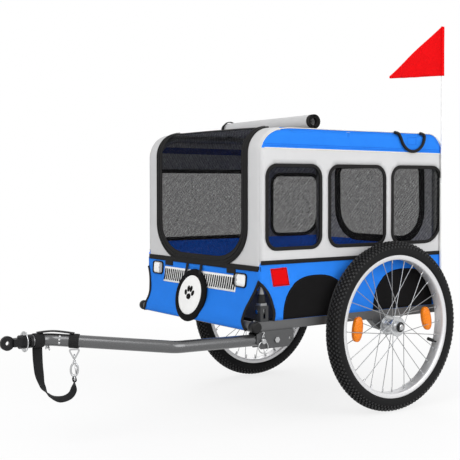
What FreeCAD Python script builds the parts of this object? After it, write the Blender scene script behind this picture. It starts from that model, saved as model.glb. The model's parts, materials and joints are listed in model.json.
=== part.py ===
import FreeCAD, Part
import math
import os
import Sketcher

# Dog bike trailer: tube chassis, spoked wheels, folding side frames, cloth cabin,
# fold-under drawbar with hitch, safety strap, front badge and pennant.
# Millimetres; +X to the drawbar, +Y left, +Z up, ground at zero.
doc = FreeCAD.newDocument("dog_bike_trailer")
Vec = FreeCAD.Vector
sheet = doc.addObject("Spreadsheet::Sheet", "Dims")
sizes = [
    ("rim_od", "424"), ("rim_lip", "7"), ("rim_deep", "17"), ("rim_width", "30"), ("rim_wall", "2"),
    ("tyre_rise", "38"), ("tyre_width", "48"), ("tyre_wall", "3"), ("wheel_gap", "44"),
    ("hub_half", "27"), ("hub_barrel", "36"), ("flange_od", "58"), ("flange_gap", "40"),
    ("flange_thick", "3"), ("hub_end_od", "28"), ("axle_od", "12"), ("collar_od", "18"),
    ("axle_head_od", "30"), ("axle_head", "4.2"), ("run_gap", "0.05"), ("face_gap", "0.3"),
    ("button_stem", "8"), ("button_od", "17"), ("button_cap", "3.3"), ("button_travel", "3"),
    ("spoke_od", "2.2"), ("spoke_pairs", "7"), ("reflector_drop", "72"), ("reflector_long", "73"),
    ("reflector_wide", "35"), ("reflector_thick", "17"), ("valve_od", "7"), ("valve_long", "32"),
    ("rail_size", "25"), ("rail_wall", "1.6"), ("rail_rise", "31"), ("half_width", "292"),
    ("tube_od", "28"), ("tube_wall", "1.6"), ("tube_reach", "10"), ("tube_ahead", "15.5"),
    ("tube_behind", "12"), ("mid_tube_od", "22"), ("mid_tube_at", "110"), ("plug_long", "12"),
    ("plug_cap", "3.4"), ("floor_thick", "6"), ("foot_long", "80"), ("foot_drop", "14"),
    ("cabin_front", "457"), ("cabin_rear", "261"), ("cabin_high", "541"), ("corner_radius", "90"),
    ("cloth", "2"), ("cloth_gap", "0.5"), ("net", "1.2"), ("band_rise", "154"), ("post_wide", "54"),
    ("door_round", "100"), ("win_rise", "201"), ("win_tall", "238"), ("win_gap", "24"),
    ("win_round", "30"), ("win_ahead", "20"), ("win_behind", "10"), ("rear_margin", "38"),
    ("apron_radius", "30"), ("tear_base", "51"), ("tear_waist", "14"), ("tear_waist_drop", "40"),
    ("tear_drop", "30"),
    ("frame_od", "20"), ("frame_wall", "1.5"), ("frame_inset", "19"), ("frame_inset_rear", "21"),
    ("pin_rise", "26.5"), ("pin_od", "8"), ("knuckle_long", "27"), ("knuckle_plate", "2.5"),
    ("knuckle_high", "42.5"), ("tongue_rise", "23"), ("ferrule_wall", "2.45"), ("ferrule_long", "24"),
    ("pivot_back", "68.5"), ("lock_reach", "48"), ("lock_od", "8"), ("bar_drop", "38"),
    ("bar_od", "32"), ("bar_wall", "2"), ("bracket_plate", "2.5"), ("bracket_end", "18"),
    ("bracket_tail", "13"), ("bracket_lip", "6"), ("pivot_od", "10"), ("bar_run", "311"),
    ("bend_rise", "7"), ("bar_slant_long", "270"), ("hitch_side", "100"), ("hitch_rise", "29"),
    ("bar_nose", "45"), ("bar_round", "60"), ("fork_lip", "1"), ("fork_long", "34"),
    ("fork_pin", "20"), ("tongue_thick", "20"), ("tongue_wide", "22"), ("eye_reach", "65"),
    ("eye_od", "36"), ("eye_thick", "9"), ("eye_bore", "10.5"), ("webbing", "25"),
    ("web_thick", "2.2"), ("ring_back", "55"), ("strap_hang", "167"), ("badge_od", "156"),
    ("badge_thick", "12"), ("badge_side", "15"), ("badge_drop", "16"), ("lamp_wide", "57"),
    ("lamp_high", "40"), ("lamp_thick", "9"), ("lamp_inset", "18"), ("lamp_drop", "33"),
    ("roll_od", "46"), ("roll_back", "248.5"), ("roll_lean", "29.5"), ("roll_inset", "32"),
    ("pole_inset", "14"), ("pole_od", "8"), ("pole_rise", "333"), ("sleeve_od", "13"),
    ("sleeve_long", "402.5"), ("flag_tall", "153"), ("flag_long", "245"), ("flag_thick", "1.2"),
]
for row, (name, number) in enumerate(sizes, 1):
    sheet.set("A%d" % row, name)
    sheet.set("B%d" % row, number)
    sheet.setAlias("B%d" % row, name)
doc.recompute()


# a length that knows its number and the sheet formula it comes from
class Length:
    def __init__(self, number, text):
        self.number = float(number)
        self.text = text

    def __float__(self):
        return self.number

    def mix(self, other, sign, turned=False):
        a = self
        b = other if isinstance(other, Length) else Length(other, "%.9g" % other)
        if turned:
            a, b = b, a
        text = "(%s %s (%s))" % (a.text, sign, b.text)
        if sign == "+":
            return Length(a.number + b.number, text)
        if sign == "-":
            return Length(a.number - b.number, text)
        if sign == "*":
            return Length(a.number * b.number, text)
        return Length(a.number / b.number, text)

    def __add__(self, other):
        return self.mix(other, "+")

    def __radd__(self, other):
        return self.mix(other, "+", True)

    def __sub__(self, other):
        return self.mix(other, "-")

    def __rsub__(self, other):
        return self.mix(other, "-", True)

    def __mul__(self, other):
        return self.mix(other, "*")

    def __truediv__(self, other):
        return self.mix(other, "/")

    def __neg__(self):
        return self.mix(-1, "*")


def size(name):
    return Length(sheet.get(name), "Dims." + name)


# heights, stations and widths that follow from the sizes above
wheel_z = size("rim_od") / 2 + size("tyre_rise")
track_half = size("half_width") + size("wheel_gap")
rail_mid = wheel_z + size("rail_rise")
rail_y = size("half_width") - size("rail_size") / 2
rail_top = rail_mid + size("rail_size") / 2
rail_low = rail_mid - size("rail_size") / 2
hinge_y = rail_y - size("cloth") - size("cloth_gap")
tube_half = size("half_width") + size("tube_reach")
tube_front = size("cabin_front") + size("tube_ahead")
tube_rear = size("cabin_rear") + size("tube_behind")
roof_top = rail_mid + size("cabin_high")
band_front = rail_mid + size("band_rise")
door_half = size("half_width") - size("post_wide")
win_low = rail_mid + size("win_rise")
win_high = win_low + size("win_tall")
frame_front = size("cabin_front") - size("frame_inset")
frame_rear = size("cabin_rear") - size("frame_inset_rear")
pin_height = rail_top + size("pin_rise")
pivot_at = tube_front - size("pivot_back")
bar_axis = rail_mid - size("bar_drop")
bend_one = pivot_at + size("bar_run")
bend_two = bend_one + size("bar_slant_long")
bar_end = bend_two + size("bar_nose")
hitch_height = bar_axis + size("hitch_rise")
eye_at = bar_end + size("eye_reach")
fork_od = size("bar_od") + size("fork_lip") * 2
pole_top = roof_top + size("pole_rise")
sleeve_top = rail_low + size("sleeve_long")


def bind(obj, prop, length):
    length = length if isinstance(length, Length) else Length(length, "%.9g" % length)
    obj.setExpression(prop, length.text)


nodes = []


# the part sits with the middle of its length over the origin
def shift():
    front = eye_at + size("eye_od") / 2
    rear = tube_rear + size("tube_od") / 2
    return (rear - front) / 2


def keep(obj, label, x=0, y=0, z=0, rotation=None):
    obj.Label = label
    spot = obj.Placement.Base
    turn = rotation or obj.Placement.Rotation
    obj.Placement = FreeCAD.Placement(spot, turn)
    bind(obj, ".Placement.Base.x", shift() + x)
    bind(obj, ".Placement.Base.y", y)
    bind(obj, ".Placement.Base.z", z)
    nodes.append(obj)
    return obj


def keep_shape(label, shape):
    obj = doc.addObject("Part::Feature", label)
    obj.Shape = shape
    spot = shape.Placement.Base
    return keep(obj, label, spot.x, spot.y, spot.z)


def mirrored(label, source):
    obj = doc.addObject("Part::Mirroring", label)
    obj.Source = source
    obj.Normal = Vec(0, 1, 0)
    obj.Label = label
    nodes.append(obj)
    return obj


def plane(body, role):
    return [o for o in body.Origin.OriginFeatures if o.Role == role][0]


def sketch(body, name, role):
    sk = body.newObject("Sketcher::SketchObject", name)
    sk.AttachmentSupport = (plane(body, role), [""])
    sk.MapMode = "FlatFace"
    return sk


# pin one point of a sketch to a place given by two lengths
def locate(sk, geo, pos, x, y):
    for kind, axis, length in (("DistanceX", -2, x), ("DistanceY", -1, y)):
        if abs(float(length)) < 1e-9:
            sk.addConstraint(Sketcher.Constraint("PointOnObject", geo, pos, axis))
        else:
            at = sk.addConstraint(Sketcher.Constraint(kind, -1, 1, geo, pos, float(length)))
            if isinstance(length, Length):
                sk.setExpression("Constraints[%d]" % at, length.text)


def polygon(sk, points):
    first = sk.GeometryCount
    count = len(points)
    for a, b in zip(points, points[1:] + points[:1]):
        start = Vec(float(a[0]), float(a[1]), 0)
        end = Vec(float(b[0]), float(b[1]), 0)
        sk.addGeometry(Part.LineSegment(start, end), False)
    for i in range(count):
        after = first + (i + 1) % count
        sk.addConstraint(Sketcher.Constraint("Coincident", first + i, 2, after, 1))
    for i, (x, y) in enumerate(points):
        locate(sk, first + i, 1, x, y)


def circle(sk, x, y, radius):
    round_one = Part.Circle(Vec(float(x), float(y), 0), Vec(0, 0, 1), float(radius))
    geo = sk.addGeometry(round_one, False)
    locate(sk, geo, 3, x, y)
    at = sk.addConstraint(Sketcher.Constraint("Radius", geo, float(radius)))
    sk.setExpression("Constraints[%d]" % at, radius.text)


def new_body(name):
    return doc.addObject("PartDesign::Body", name + "_body")


def pad(body, sk, length, both=False):
    feature = body.newObject("PartDesign::Pad", sk.Name + "_pad")
    feature.Profile = sk
    feature.SideType = "Symmetric" if both else "One side"
    bind(feature, "Length", length)
    return feature


def pocket(body, sk, length=None):
    feature = body.newObject("PartDesign::Pocket", sk.Name + "_pocket")
    feature.Profile = sk
    feature.SideType = "Symmetric"
    if length is None:
        feature.Type = "ThroughAll"
    else:
        bind(feature, "Length", length)
    return feature


def turned(body, sk, axis):
    feature = body.newObject("PartDesign::Revolution", sk.Name + "_turn")
    feature.Profile = sk
    feature.ReferenceAxis = (sk, [axis])
    feature.Angle = 360
    return feature


along_x = FreeCAD.Rotation(Vec(0, 1, 0), 90)
along_y = FreeCAD.Rotation(Vec(1, 0, 0), -90)
upright = FreeCAD.Rotation()


def rod(name, radius, length, x, y, z, turn):
    obj = doc.addObject("Part::Cylinder", name)
    obj.Placement = FreeCAD.Placement(Vec(), turn)
    bind(obj, "Radius", radius)
    bind(obj, "Height", length)
    for axis, value in zip("xyz", (x, y, z)):
        bind(obj, ".Placement.Base." + axis, value)
    return obj


def hexagon(name, radius, length, x, y, z, turn):
    obj = doc.addObject("Part::Prism", name)
    obj.Polygon = 6
    obj.Placement = FreeCAD.Placement(Vec(), turn)
    bind(obj, "Circumradius", radius)
    bind(obj, "Height", length)
    for axis, value in zip("xyz", (x, y, z)):
        bind(obj, ".Placement.Base." + axis, value)
    return obj


def block(name, dx, dy, dz, x, y, z):
    obj = doc.addObject("Part::Box", name)
    bind(obj, "Length", dx)
    bind(obj, "Width", dy)
    bind(obj, "Height", dz)
    for axis, value in zip("xyz", (x, y, z)):
        bind(obj, ".Placement.Base." + axis, value)
    return obj


def fused(name, *parts):
    obj = doc.addObject("Part::MultiFuse", name)
    obj.Shapes = list(parts)
    return obj


def minus(name, base, tool):
    obj = doc.addObject("Part::Cut", name)
    obj.Base = base
    obj.Tool = tool
    return obj


def group(name, *parts):
    obj = doc.addObject("Part::Compound", name)
    obj.Links = list(parts)
    return obj


# a chain of straight runs with rounded corners, each point (x, z, radius)
def runs(points, closed=False):
    places = [Vec(float(x), 0, float(z)) for x, z, r in points]
    radii = [float(r) for x, z, r in points]
    count = len(places)
    stops = []
    for i, here in enumerate(places):
        ends = not closed and i in (0, count - 1)
        if ends or radii[i] == 0:
            stops.append((here, here, here))
            continue
        back = (places[i - 1] - here).normalize()
        ahead = (places[(i + 1) % count] - here).normalize()
        half = back.getAngle(ahead) / 2
        reach = radii[i] / math.tan(half)
        middle = (back + ahead).normalize() * (radii[i] / math.sin(half) - radii[i])
        stops.append((here + back * reach, here + middle, here + ahead * reach))
    edges = []
    last = count if closed else count - 1
    for i in range(count):
        start, middle, end = stops[i]
        if (start - end).Length > 1e-6:
            edges.append(Part.Arc(start, middle, end).toShape())
        if i < last:
            after = stops[(i + 1) % count][0]
            if (after - end).Length > 1e-6:
                edges.append(Part.LineSegment(end, after).toShape())
    return edges


# bends as large as the runs beside them allow
def eased(places):
    spots = [Vec(x, 0, z) for x, z in places]
    out = [places[0] + (0,)]
    for before, here, after in zip(spots, spots[1:], spots[2:]):
        turn_half = (here - before).getAngle(after - here) / 2
        shorter = min((here - before).Length, (after - here).Length)
        out.append((here.x, here.z, 0.45 * shorter / math.tan(turn_half)))
    return out + [places[-1] + (0,)]


# a strip of cloth of one thickness that follows a chain of runs, drawn out along Y
def strip(points, thick, low, high):
    centre = Part.Wire(runs(points))
    left = centre.makeOffset2D(float(thick) / 2, 0, False, True)
    right = centre.makeOffset2D(-float(thick) / 2, 0, False, True)
    a, b = left.OrderedVertexes, right.OrderedVertexes
    caps = []
    for near in (a[0], a[-1]):
        far = min((b[0], b[-1]), key=lambda v: (v.Point - near.Point).Length)
        caps.append(Part.LineSegment(near.Point, far.Point).toShape())
    outline = Part.Wire(Part.__sortEdges__(left.Edges + right.Edges + caps))
    face = Part.Face(outline)
    face.translate(Vec(0, float(low), 0))
    return face.extrude(Vec(0, float(high) - float(low), 0))


# a flat panel in the XZ plane with rounded corners
def panel(points, low, high):
    face = Part.Face(Part.Wire(runs(points, True)))
    face.translate(Vec(0, float(low), 0))
    return face.extrude(Vec(0, float(high) - float(low), 0))


def rounded_rectangle(x0, x1, z0, z1, radius):
    return [(x0, z0, radius), (x1, z0, radius), (x1, z1, radius), (x0, z1, radius)]


# side rails, coped to the cross tubes
body = new_body("left_rail")
sk = sketch(body, "rail_section", "YZ_Plane")
for reach in (size("rail_size") / 2, size("rail_size") / 2 - size("rail_wall")):
    polygon(sk, [(-reach, -reach), (reach, -reach), (reach, reach), (-reach, reach)])
rail_length = tube_front + tube_rear
pad(body, sk, rail_length)
sk = sketch(body, "rail_cope", "XZ_Plane")
circle(sk, 0, 0, size("tube_od") / 2)
circle(sk, rail_length, 0, size("tube_od") / 2)
pocket(body, sk)
left_rail = keep(body, "left_rail", -tube_rear, rail_y, rail_mid)
mirrored("right_rail", left_rail)


# cross tubes with plugged ends
def cross_tube(label, outer, half, x):
    tube = new_body(label)
    ring = sketch(tube, label + "_section", "XZ_Plane")
    circle(ring, 0, 0, outer / 2)
    circle(ring, 0, 0, outer / 2 - size("tube_wall"))
    pad(tube, ring, half * 2, True)
    keep(tube, label, x, 0, rail_mid)


cross_tube("front_cross_tube", size("tube_od"), tube_half, tube_front)
cross_tube("rear_cross_tube", size("tube_od"), tube_half, -tube_rear)
mid_half = size("half_width") - size("rail_size")
cross_tube("mid_cross_tube", size("mid_tube_od"), mid_half, size("mid_tube_at"))
plugs = []
for name, x in (("front", tube_front), ("rear", -tube_rear)):
    body = new_body(name + "_plug")
    sk = sketch(body, name + "_plug_section", "YZ_Plane")
    stem = size("tube_od") / 2 - size("tube_wall") - size("run_gap")
    head = size("tube_od") / 2
    cap = size("plug_cap")
    depth = -size("plug_long")
    polygon(sk, [(depth, 0), (depth, stem), (0, stem), (0, head), (cap - 1, head),
                 (cap, head - 2), (cap, 0)])
    turned(body, sk, "H_Axis")
    for axis, value in zip("xyz", (x, tube_half, rail_mid)):
        bind(body, ".Placement.Base." + axis, value)
    plugs.append(body)
    other = doc.addObject("Part::Mirroring", name + "_plug_right")
    other.Source = body
    other.Normal = Vec(0, 1, 0)
    plugs.append(other)
keep(group("tube_plugs", *plugs), "tube_plugs")

# floor board, notched round the knuckles
body = new_body("floor_board")
sk = sketch(body, "floor_outline", "XY_Plane")
inner = hinge_y - size("rail_size") / 2 - 1.5
ahead = size("cabin_front") - size("cloth") - 1
behind = size("cloth") + 1 - size("cabin_rear")
notch_front = frame_front - size("knuckle_long") / 2 - 1.5
notch_rear = size("knuckle_long") / 2 + 1.5 - frame_rear
polygon(sk, [(notch_rear, rail_y), (notch_front, rail_y), (notch_front, inner), (ahead, inner),
             (ahead, -inner), (notch_front, -inner), (notch_front, -rail_y), (notch_rear, -rail_y),
             (notch_rear, -inner), (behind, -inner), (behind, inner), (notch_rear, inner)])
pad(body, sk, size("floor_thick"))
keep(body, "floor_board", 0, 0, rail_top)

# axle feet welded under the rails
body = new_body("left_axle_foot")
sk = sketch(body, "foot_outline", "XZ_Plane")
top = rail_low - wheel_z
reach = size("foot_long") / 2
polygon(sk, [(-reach, top), (reach, top), (reach, top - 6), (size("axle_od"), -size("foot_drop")),
             (-size("axle_od"), -size("foot_drop")), (-reach, top - 6)])
pad(body, sk, size("rail_size"), True)
sk = sketch(body, "foot_bore", "XZ_Plane")
circle(sk, 0, 0, size("axle_od") / 2 + size("run_gap"))
pocket(body, sk)
left_foot = keep(body, "left_axle_foot", 0, rail_y, wheel_z)
mirrored("right_axle_foot", left_foot)

# quick-release axle with a push button in its head
hub_half = size("hub_half")
shaft = size("axle_od") / 2
hub_face = hub_half + size("face_gap")
head_face = hub_face + size("axle_head")
stem = size("button_stem") / 2
bore_end = head_face - 10.5
body = new_body("left_axle")
sk = sketch(body, "axle_profile", "YZ_Plane")
tail = size("half_width") - size("rail_size") - 2 - track_half
foot_face = size("half_width") - track_half
bore = stem + size("run_gap")
polygon(sk, [(tail, 0), (tail, shaft - 1), (tail + 2, shaft), (foot_face, shaft),
             (foot_face, size("collar_od") / 2), (-hub_face, size("collar_od") / 2),
             (-hub_face, shaft), (hub_face, shaft), (hub_face, size("axle_head_od") / 2),
             (head_face - 1, size("axle_head_od") / 2), (head_face, size("axle_head_od") / 2 - 1),
             (head_face, bore), (bore_end, bore), (bore_end, 0)])
turned(body, sk, "H_Axis")
left_axle = keep(body, "left_axle", 0, track_half, wheel_z)
mirrored("right_axle", left_axle)
body = new_body("left_button")
sk = sketch(body, "button_profile", "YZ_Plane")
seat = head_face + size("button_travel") + size("face_gap")
deep = bore_end + size("button_travel") + size("face_gap")
crown = seat + size("button_cap")
polygon(sk, [(deep, 0), (deep, stem), (seat, stem), (seat, size("button_od") / 2),
             (crown - 1, size("button_od") / 2), (crown, size("button_od") / 2 - 1.5), (crown, 0)])
turned(body, sk, "H_Axis")
left_button = keep(body, "left_button", 0, track_half, wheel_z)
mirrored("right_button", left_button)

# hub shell with two spoke flanges
body = new_body("left_hub")
sk = sketch(body, "hub_profile", "YZ_Plane")
flange = size("flange_gap") / 2
web = size("flange_thick") / 2
rim_r = size("flange_od") / 2
barrel = size("hub_barrel") / 2
nose = size("hub_end_od") / 2
inside = shaft + size("run_gap")
right_half = [(hub_half, inside), (hub_half, nose), (flange + web, nose + 2), (flange + web, rim_r),
              (flange - web, rim_r), (flange - web, barrel + 2), (flange - web - 6, barrel)]
left_half = [(-y, r) for y, r in right_half]
polygon(sk, left_half + right_half[::-1])
turned(body, sk, "H_Axis")
left_hub = keep(body, "left_hub", 0, track_half, wheel_z)
mirrored("right_hub", left_hub)

# alloy rim with a bead channel
body = new_body("left_rim")
sk = sketch(body, "rim_profile", "YZ_Plane")
edge = size("rim_width") / 2
lip = edge - size("rim_wall")
hoop = size("rim_od") / 2 - size("rim_deep")
right_half = [(edge / 2, hoop), (edge, hoop + 7), (edge, size("rim_od") / 2), (lip, size("rim_od") / 2),
              (lip, (size("rim_od") / 2 - size("rim_lip")))]
left_half = [(-y, r) for y, r in right_half]
polygon(sk, right_half + left_half[::-1])
turned(body, sk, "H_Axis")
left_rim = keep(body, "left_rim", 0, track_half, wheel_z)
mirrored("right_rim", left_rim)
doc.recompute()


# tyre: a horseshoe section seated in the rim
def tyre():
    outer = float(size("tyre_width")) / 2
    middle = float(wheel_z) - outer
    thin = outer - float(size("tyre_wall"))
    shoulder = float(size("rim_od")) / 2 + 1
    wide = math.sqrt(outer ** 2 - (middle - shoulder) ** 2)
    lift = shoulder + float(size("tyre_wall"))
    slim = math.sqrt(thin ** 2 - (middle - lift) ** 2)
    bead = float(lip) - 0.2
    core = bead - float(size("tyre_wall"))
    bed = (float(size("rim_od")) / 2 - float(size("rim_lip"))) + 0.1
    neck = shoulder - 0.6

    def at(y, r):
        return Vec(0, y, r)

    def line(a, b):
        return Part.LineSegment(at(*a), at(*b)).toShape()

    edges = [
        Part.Arc(at(-wide, shoulder), at(0, middle + outer), at(wide, shoulder)).toShape(),
        line((wide, shoulder), (bead, neck)),
        line((bead, neck), (bead, bed)),
        line((bead, bed), (core, bed)),
        line((core, bed), (core, lift)),
        line((core, lift), (slim, lift)),
        Part.Arc(at(slim, lift), at(0, middle + thin), at(-slim, lift)).toShape(),
        line((-slim, lift), (-core, lift)),
        line((-core, lift), (-core, bed)),
        line((-core, bed), (-bead, bed)),
        line((-bead, bed), (-bead, neck)),
        line((-bead, neck), (-wide, shoulder)),
    ]
    ring = Part.Face(Part.Wire(edges)).revolve(Vec(), Vec(0, 1, 0), 360)
    ring.translate(Vec(0, float(track_half), float(wheel_z)))
    return ring


left_tyre = keep_shape("left_tyre", tyre())
mirrored("right_tyre", left_tyre)


def polar(radius, angle, y):
    return Vec(radius * math.cos(angle), y, radius * math.sin(angle))


def centred(obj):
    shape = obj.Shape.copy()
    shape.translate(Vec(-float(shift()), -float(track_half), -float(wheel_z)))
    return shape


# crossed spokes, drawn from flange to rim and trimmed to both
def spokes():
    pairs = int(size("spoke_pairs").number)
    step = 2 * math.pi / pairs
    lead = 2 * math.pi / pairs
    radius = float(size("spoke_od")) / 2
    hub_shape = centred(left_hub)
    rim_shape = centred(left_rim)
    made = []
    for side in (1, -1):
        offset = 0 if side > 0 else step / 4
        for turn in (1, -1):
            lane = turn * (radius + 0.2)
            for i in range(pairs):
                base = i * step + offset + (0 if turn > 0 else step / 2)
                start = polar(float(rim_r) - 3, base, side * float(flange) + lane)
                end = polar(float(hoop) + 2, base + turn * lead, side * 3 + lane)
                way = end - start
                wire = Part.makeCylinder(radius, way.Length, start, way)
                wire = wire.cut(hub_shape).cut(rim_shape)
                made.append(max(wire.Solids, key=lambda one: one.Volume))
    return made


spoke_set = spokes()
spoke_group = Part.makeCompound(spoke_set)


# two lenses clipped between the spokes
def reflectors():
    made = []
    thick = float(size("reflector_thick"))
    wide = float(size("reflector_wide"))
    tall = float(size("reflector_long"))
    for sign in (1, -1):
        lens = panel(rounded_rectangle(-wide / 2, wide / 2, -tall / 2, tall / 2, wide * 0.48),
                     -thick / 2, thick / 2)
        lens.translate(Vec(sign * float(size("rim_od") / 2 - size("reflector_drop")), 0, 0))
        lens = lens.cut(spoke_group)
        made.append(max(lens.Solids, key=lambda one: one.Volume))
    return Part.makeCompound(made)


# valve stem with its cap, seated on the rim
def valve():
    radius = float(size("valve_od")) / 2
    foot = float(hoop) + 1
    tip = foot - float(size("valve_long"))
    angle = 31 * math.pi / (4 * float(size("spoke_pairs")))
    way = polar(1, angle, 0)
    stem_shape = Part.makeCylinder(radius - 1, foot - tip, polar(tip, angle, 0), way)
    cap_shape = Part.makeCylinder(radius, 14, polar(tip - 6, angle, 0), way)
    both = stem_shape.fuse(cap_shape).cut(centred(left_rim))
    return max(both.Solids, key=lambda one: one.Volume)


def at_wheel(shape):
    moved = shape.copy()
    moved.translate(Vec(0, float(track_half), float(wheel_z)))
    return moved


left_spokes = keep_shape("left_spokes", at_wheel(spoke_group))
mirrored("right_spokes", left_spokes)
left_reflectors = keep_shape("left_reflectors", at_wheel(reflectors()))
mirrored("right_reflectors", left_reflectors)
left_valve = keep_shape("left_valve", at_wheel(valve()))
mirrored("right_valve", left_valve)

# knuckle brackets on the rails, open to the inside
left_knuckles = []
for name, x in (("front", frame_front), ("rear", -frame_rear)):
    body = new_body(name + "_knuckle")
    sk = sketch(body, name + "_knuckle_outline", "XY_Plane")
    long = size("knuckle_long") / 2
    gap = long - size("knuckle_plate")
    deep = size("rail_size") / 2
    back = deep - size("knuckle_plate")
    polygon(sk, [(-long, -deep), (-gap, -deep), (-gap, back), (gap, back), (gap, -deep),
                 (long, -deep), (long, deep), (-long, deep)])
    pad(body, sk, size("knuckle_high"))
    sk = sketch(body, name + "_knuckle_hole", "YZ_Plane")
    circle(sk, 0, pin_height - rail_top, size("pin_od") / 2 + size("run_gap"))
    pocket(body, sk)
    sk = sketch(body, name + "_knuckle_slot", "XZ_Plane")
    polygon(sk, [(-3.5, 8), (3.5, 8), (3.5, size("knuckle_high") - 8), (-3.5, size("knuckle_high") - 8)])
    pocket(body, sk)
    for axis, value in zip("xyz", (x, hinge_y, rail_top)):
        bind(body, ".Placement.Base." + axis, value)
    left_knuckles.append(body)
left_pair = keep(group("left_knuckles", *left_knuckles), "left_knuckles")
mirrored("right_knuckles", left_pair)

# hinge bolts through the knuckles
bolts = []
for name, x in (("front", frame_front), ("rear", -frame_rear)):
    half = size("knuckle_long") / 2
    shank = rod(name + "_shank", size("pin_od") / 2, size("knuckle_long") + 2,
                x - half - 1, hinge_y, pin_height, along_x)
    head = hexagon(name + "_head", size("pin_od") * 0.8, 4.5, x + half, hinge_y, pin_height, along_x)
    nut = hexagon(name + "_nut", size("pin_od") * 0.8, 5, x - half - 5, hinge_y, pin_height, along_x)
    bolt = fused(name + "_bolt", shank, head, nut)
    bolts.append(bolt)
    other = doc.addObject("Part::Mirroring", name + "_bolt_right")
    other.Source = bolt
    other.Normal = Vec(0, 1, 0)
    bolts.append(other)
keep(group("knuckle_bolts", *bolts), "knuckle_bolts")

# folding side frame: a bent tube on two tongues
frame_base = pin_height + size("tongue_rise")
frame_top = roof_top - size("cloth") * 2 - size("frame_od") / 2
frame_width = frame_front + frame_rear
frame_rise = frame_top - frame_base
bend = size("corner_radius") - size("cloth") * 2 - size("frame_od") / 2


def frame_path(holder, name):
    path = sketch(holder, name, "XZ_Plane")
    w, top_z, r = float(frame_width), float(frame_rise), float(bend)
    path.addGeometry(Part.LineSegment(Vec(0, 0, 0), Vec(0, top_z - r, 0)), False)
    first = Part.Circle(Vec(-r, top_z - r, 0), Vec(0, 0, 1), r)
    path.addGeometry(Part.ArcOfCircle(first, 0, math.pi / 2), False)
    path.addGeometry(Part.LineSegment(Vec(-r, top_z, 0), Vec(r - w, top_z, 0)), False)
    second = Part.Circle(Vec(r - w, top_z - r, 0), Vec(0, 0, 1), r)
    path.addGeometry(Part.ArcOfCircle(second, math.pi / 2, math.pi), False)
    path.addGeometry(Part.LineSegment(Vec(-w, top_z - r, 0), Vec(-w, 0, 0)), False)
    rule = Sketcher.Constraint
    path.addConstraint(rule("Coincident", 0, 1, -1, 1))
    path.addConstraint(rule("Vertical", 0))
    path.addConstraint(rule("Tangent", 0, 2, 1, 1))
    path.addConstraint(rule("Tangent", 1, 2, 2, 1))
    path.addConstraint(rule("Horizontal", 2))
    path.addConstraint(rule("Tangent", 2, 2, 3, 1))
    path.addConstraint(rule("Tangent", 3, 2, 4, 1))
    path.addConstraint(rule("Vertical", 4))
    path.addConstraint(rule("Equal", 1, 3))
    path.addConstraint(rule("PointOnObject", 4, 2, -1))
    for kind, geo, pos, length in (("DistanceX", 4, 2, -frame_width), ("DistanceY", 2, 1, frame_rise)):
        at = path.addConstraint(rule(kind, -1, 1, geo, pos, float(length)))
        path.setExpression("Constraints[%d]" % at, length.text)
    at = path.addConstraint(rule("Radius", 1, float(bend)))
    path.setExpression("Constraints[%d]" % at, bend.text)
    return path


body = new_body("left_frame_tube")
path = frame_path(body, "frame_path")
sk = sketch(body, "frame_section", "XY_Plane")
circle(sk, 0, 0, size("frame_od") / 2)
sweep = body.newObject("PartDesign::AdditivePipe", "frame_sweep")
sweep.Profile = sk
sweep.Spine = (path, ["Edge%d" % (i + 1) for i in range(5)])
sk = sketch(body, "frame_bore", "XY_Plane")
circle(sk, 0, 0, size("frame_od") / 2 - size("frame_wall"))
hollow = body.newObject("PartDesign::SubtractivePipe", "frame_hollow")
hollow.Profile = sk
hollow.Spine = (path, ["Edge%d" % (i + 1) for i in range(5)])
for axis, value in zip("xyz", (frame_front, hinge_y, frame_base)):
    bind(body, ".Placement.Base." + axis, value)
pieces = [body]
holes = []
tongue = size("knuckle_long") - size("knuckle_plate") * 2 - size("face_gap") * 2
knob = size("frame_od") / 2 - 1
for name, x in (("front", frame_front), ("rear", -frame_rear)):
    pieces.append(block(name + "_tongue", tongue, knob * 2, size("tongue_rise"),
                        x - tongue / 2, hinge_y - knob, pin_height))
    pieces.append(rod(name + "_tongue_end", knob, tongue, x - tongue / 2, hinge_y,
                      pin_height, along_x))
    pieces.append(rod(name + "_tongue_plug", size("frame_od") / 2 - size("frame_wall"), 14,
                      x, hinge_y, frame_base, upright))
    holes.append(rod(name + "_tongue_hole", size("pin_od") / 2 + size("run_gap"), tongue + 2,
                     x - tongue / 2 - 1, hinge_y, pin_height, along_x))
solid = fused("left_frame_solid", *pieces)
left_frame = keep(minus("left_side_frame", solid, fused("left_frame_holes", *holes)), "left_side_frame")
mirrored("right_side_frame", left_frame)

# tapered ferrules where the uprights leave the knuckles
ferrules = []
for name, x in (("front", frame_front), ("rear", -frame_rear)):
    body = new_body(name + "_ferrule")
    sk = sketch(body, name + "_ferrule_section", "XZ_Plane")
    bore = size("frame_od") / 2 + size("run_gap")
    swell = bore + size("ferrule_wall")
    polygon(sk, [(bore, 0), (swell, 0), (swell, size("ferrule_long") / 4),
                 (bore + size("ferrule_wall") / 2, size("ferrule_long")), (bore, size("ferrule_long"))])
    turned(body, sk, "V_Axis")
    for axis, value in zip("xyz", (x, hinge_y, frame_base + size("face_gap"))):
        bind(body, ".Placement.Base." + axis, value)
    ferrules.append(body)
left_ferrules = keep(group("left_ferrules", *ferrules), "left_ferrules")
mirrored("right_ferrules", left_ferrules)

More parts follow.
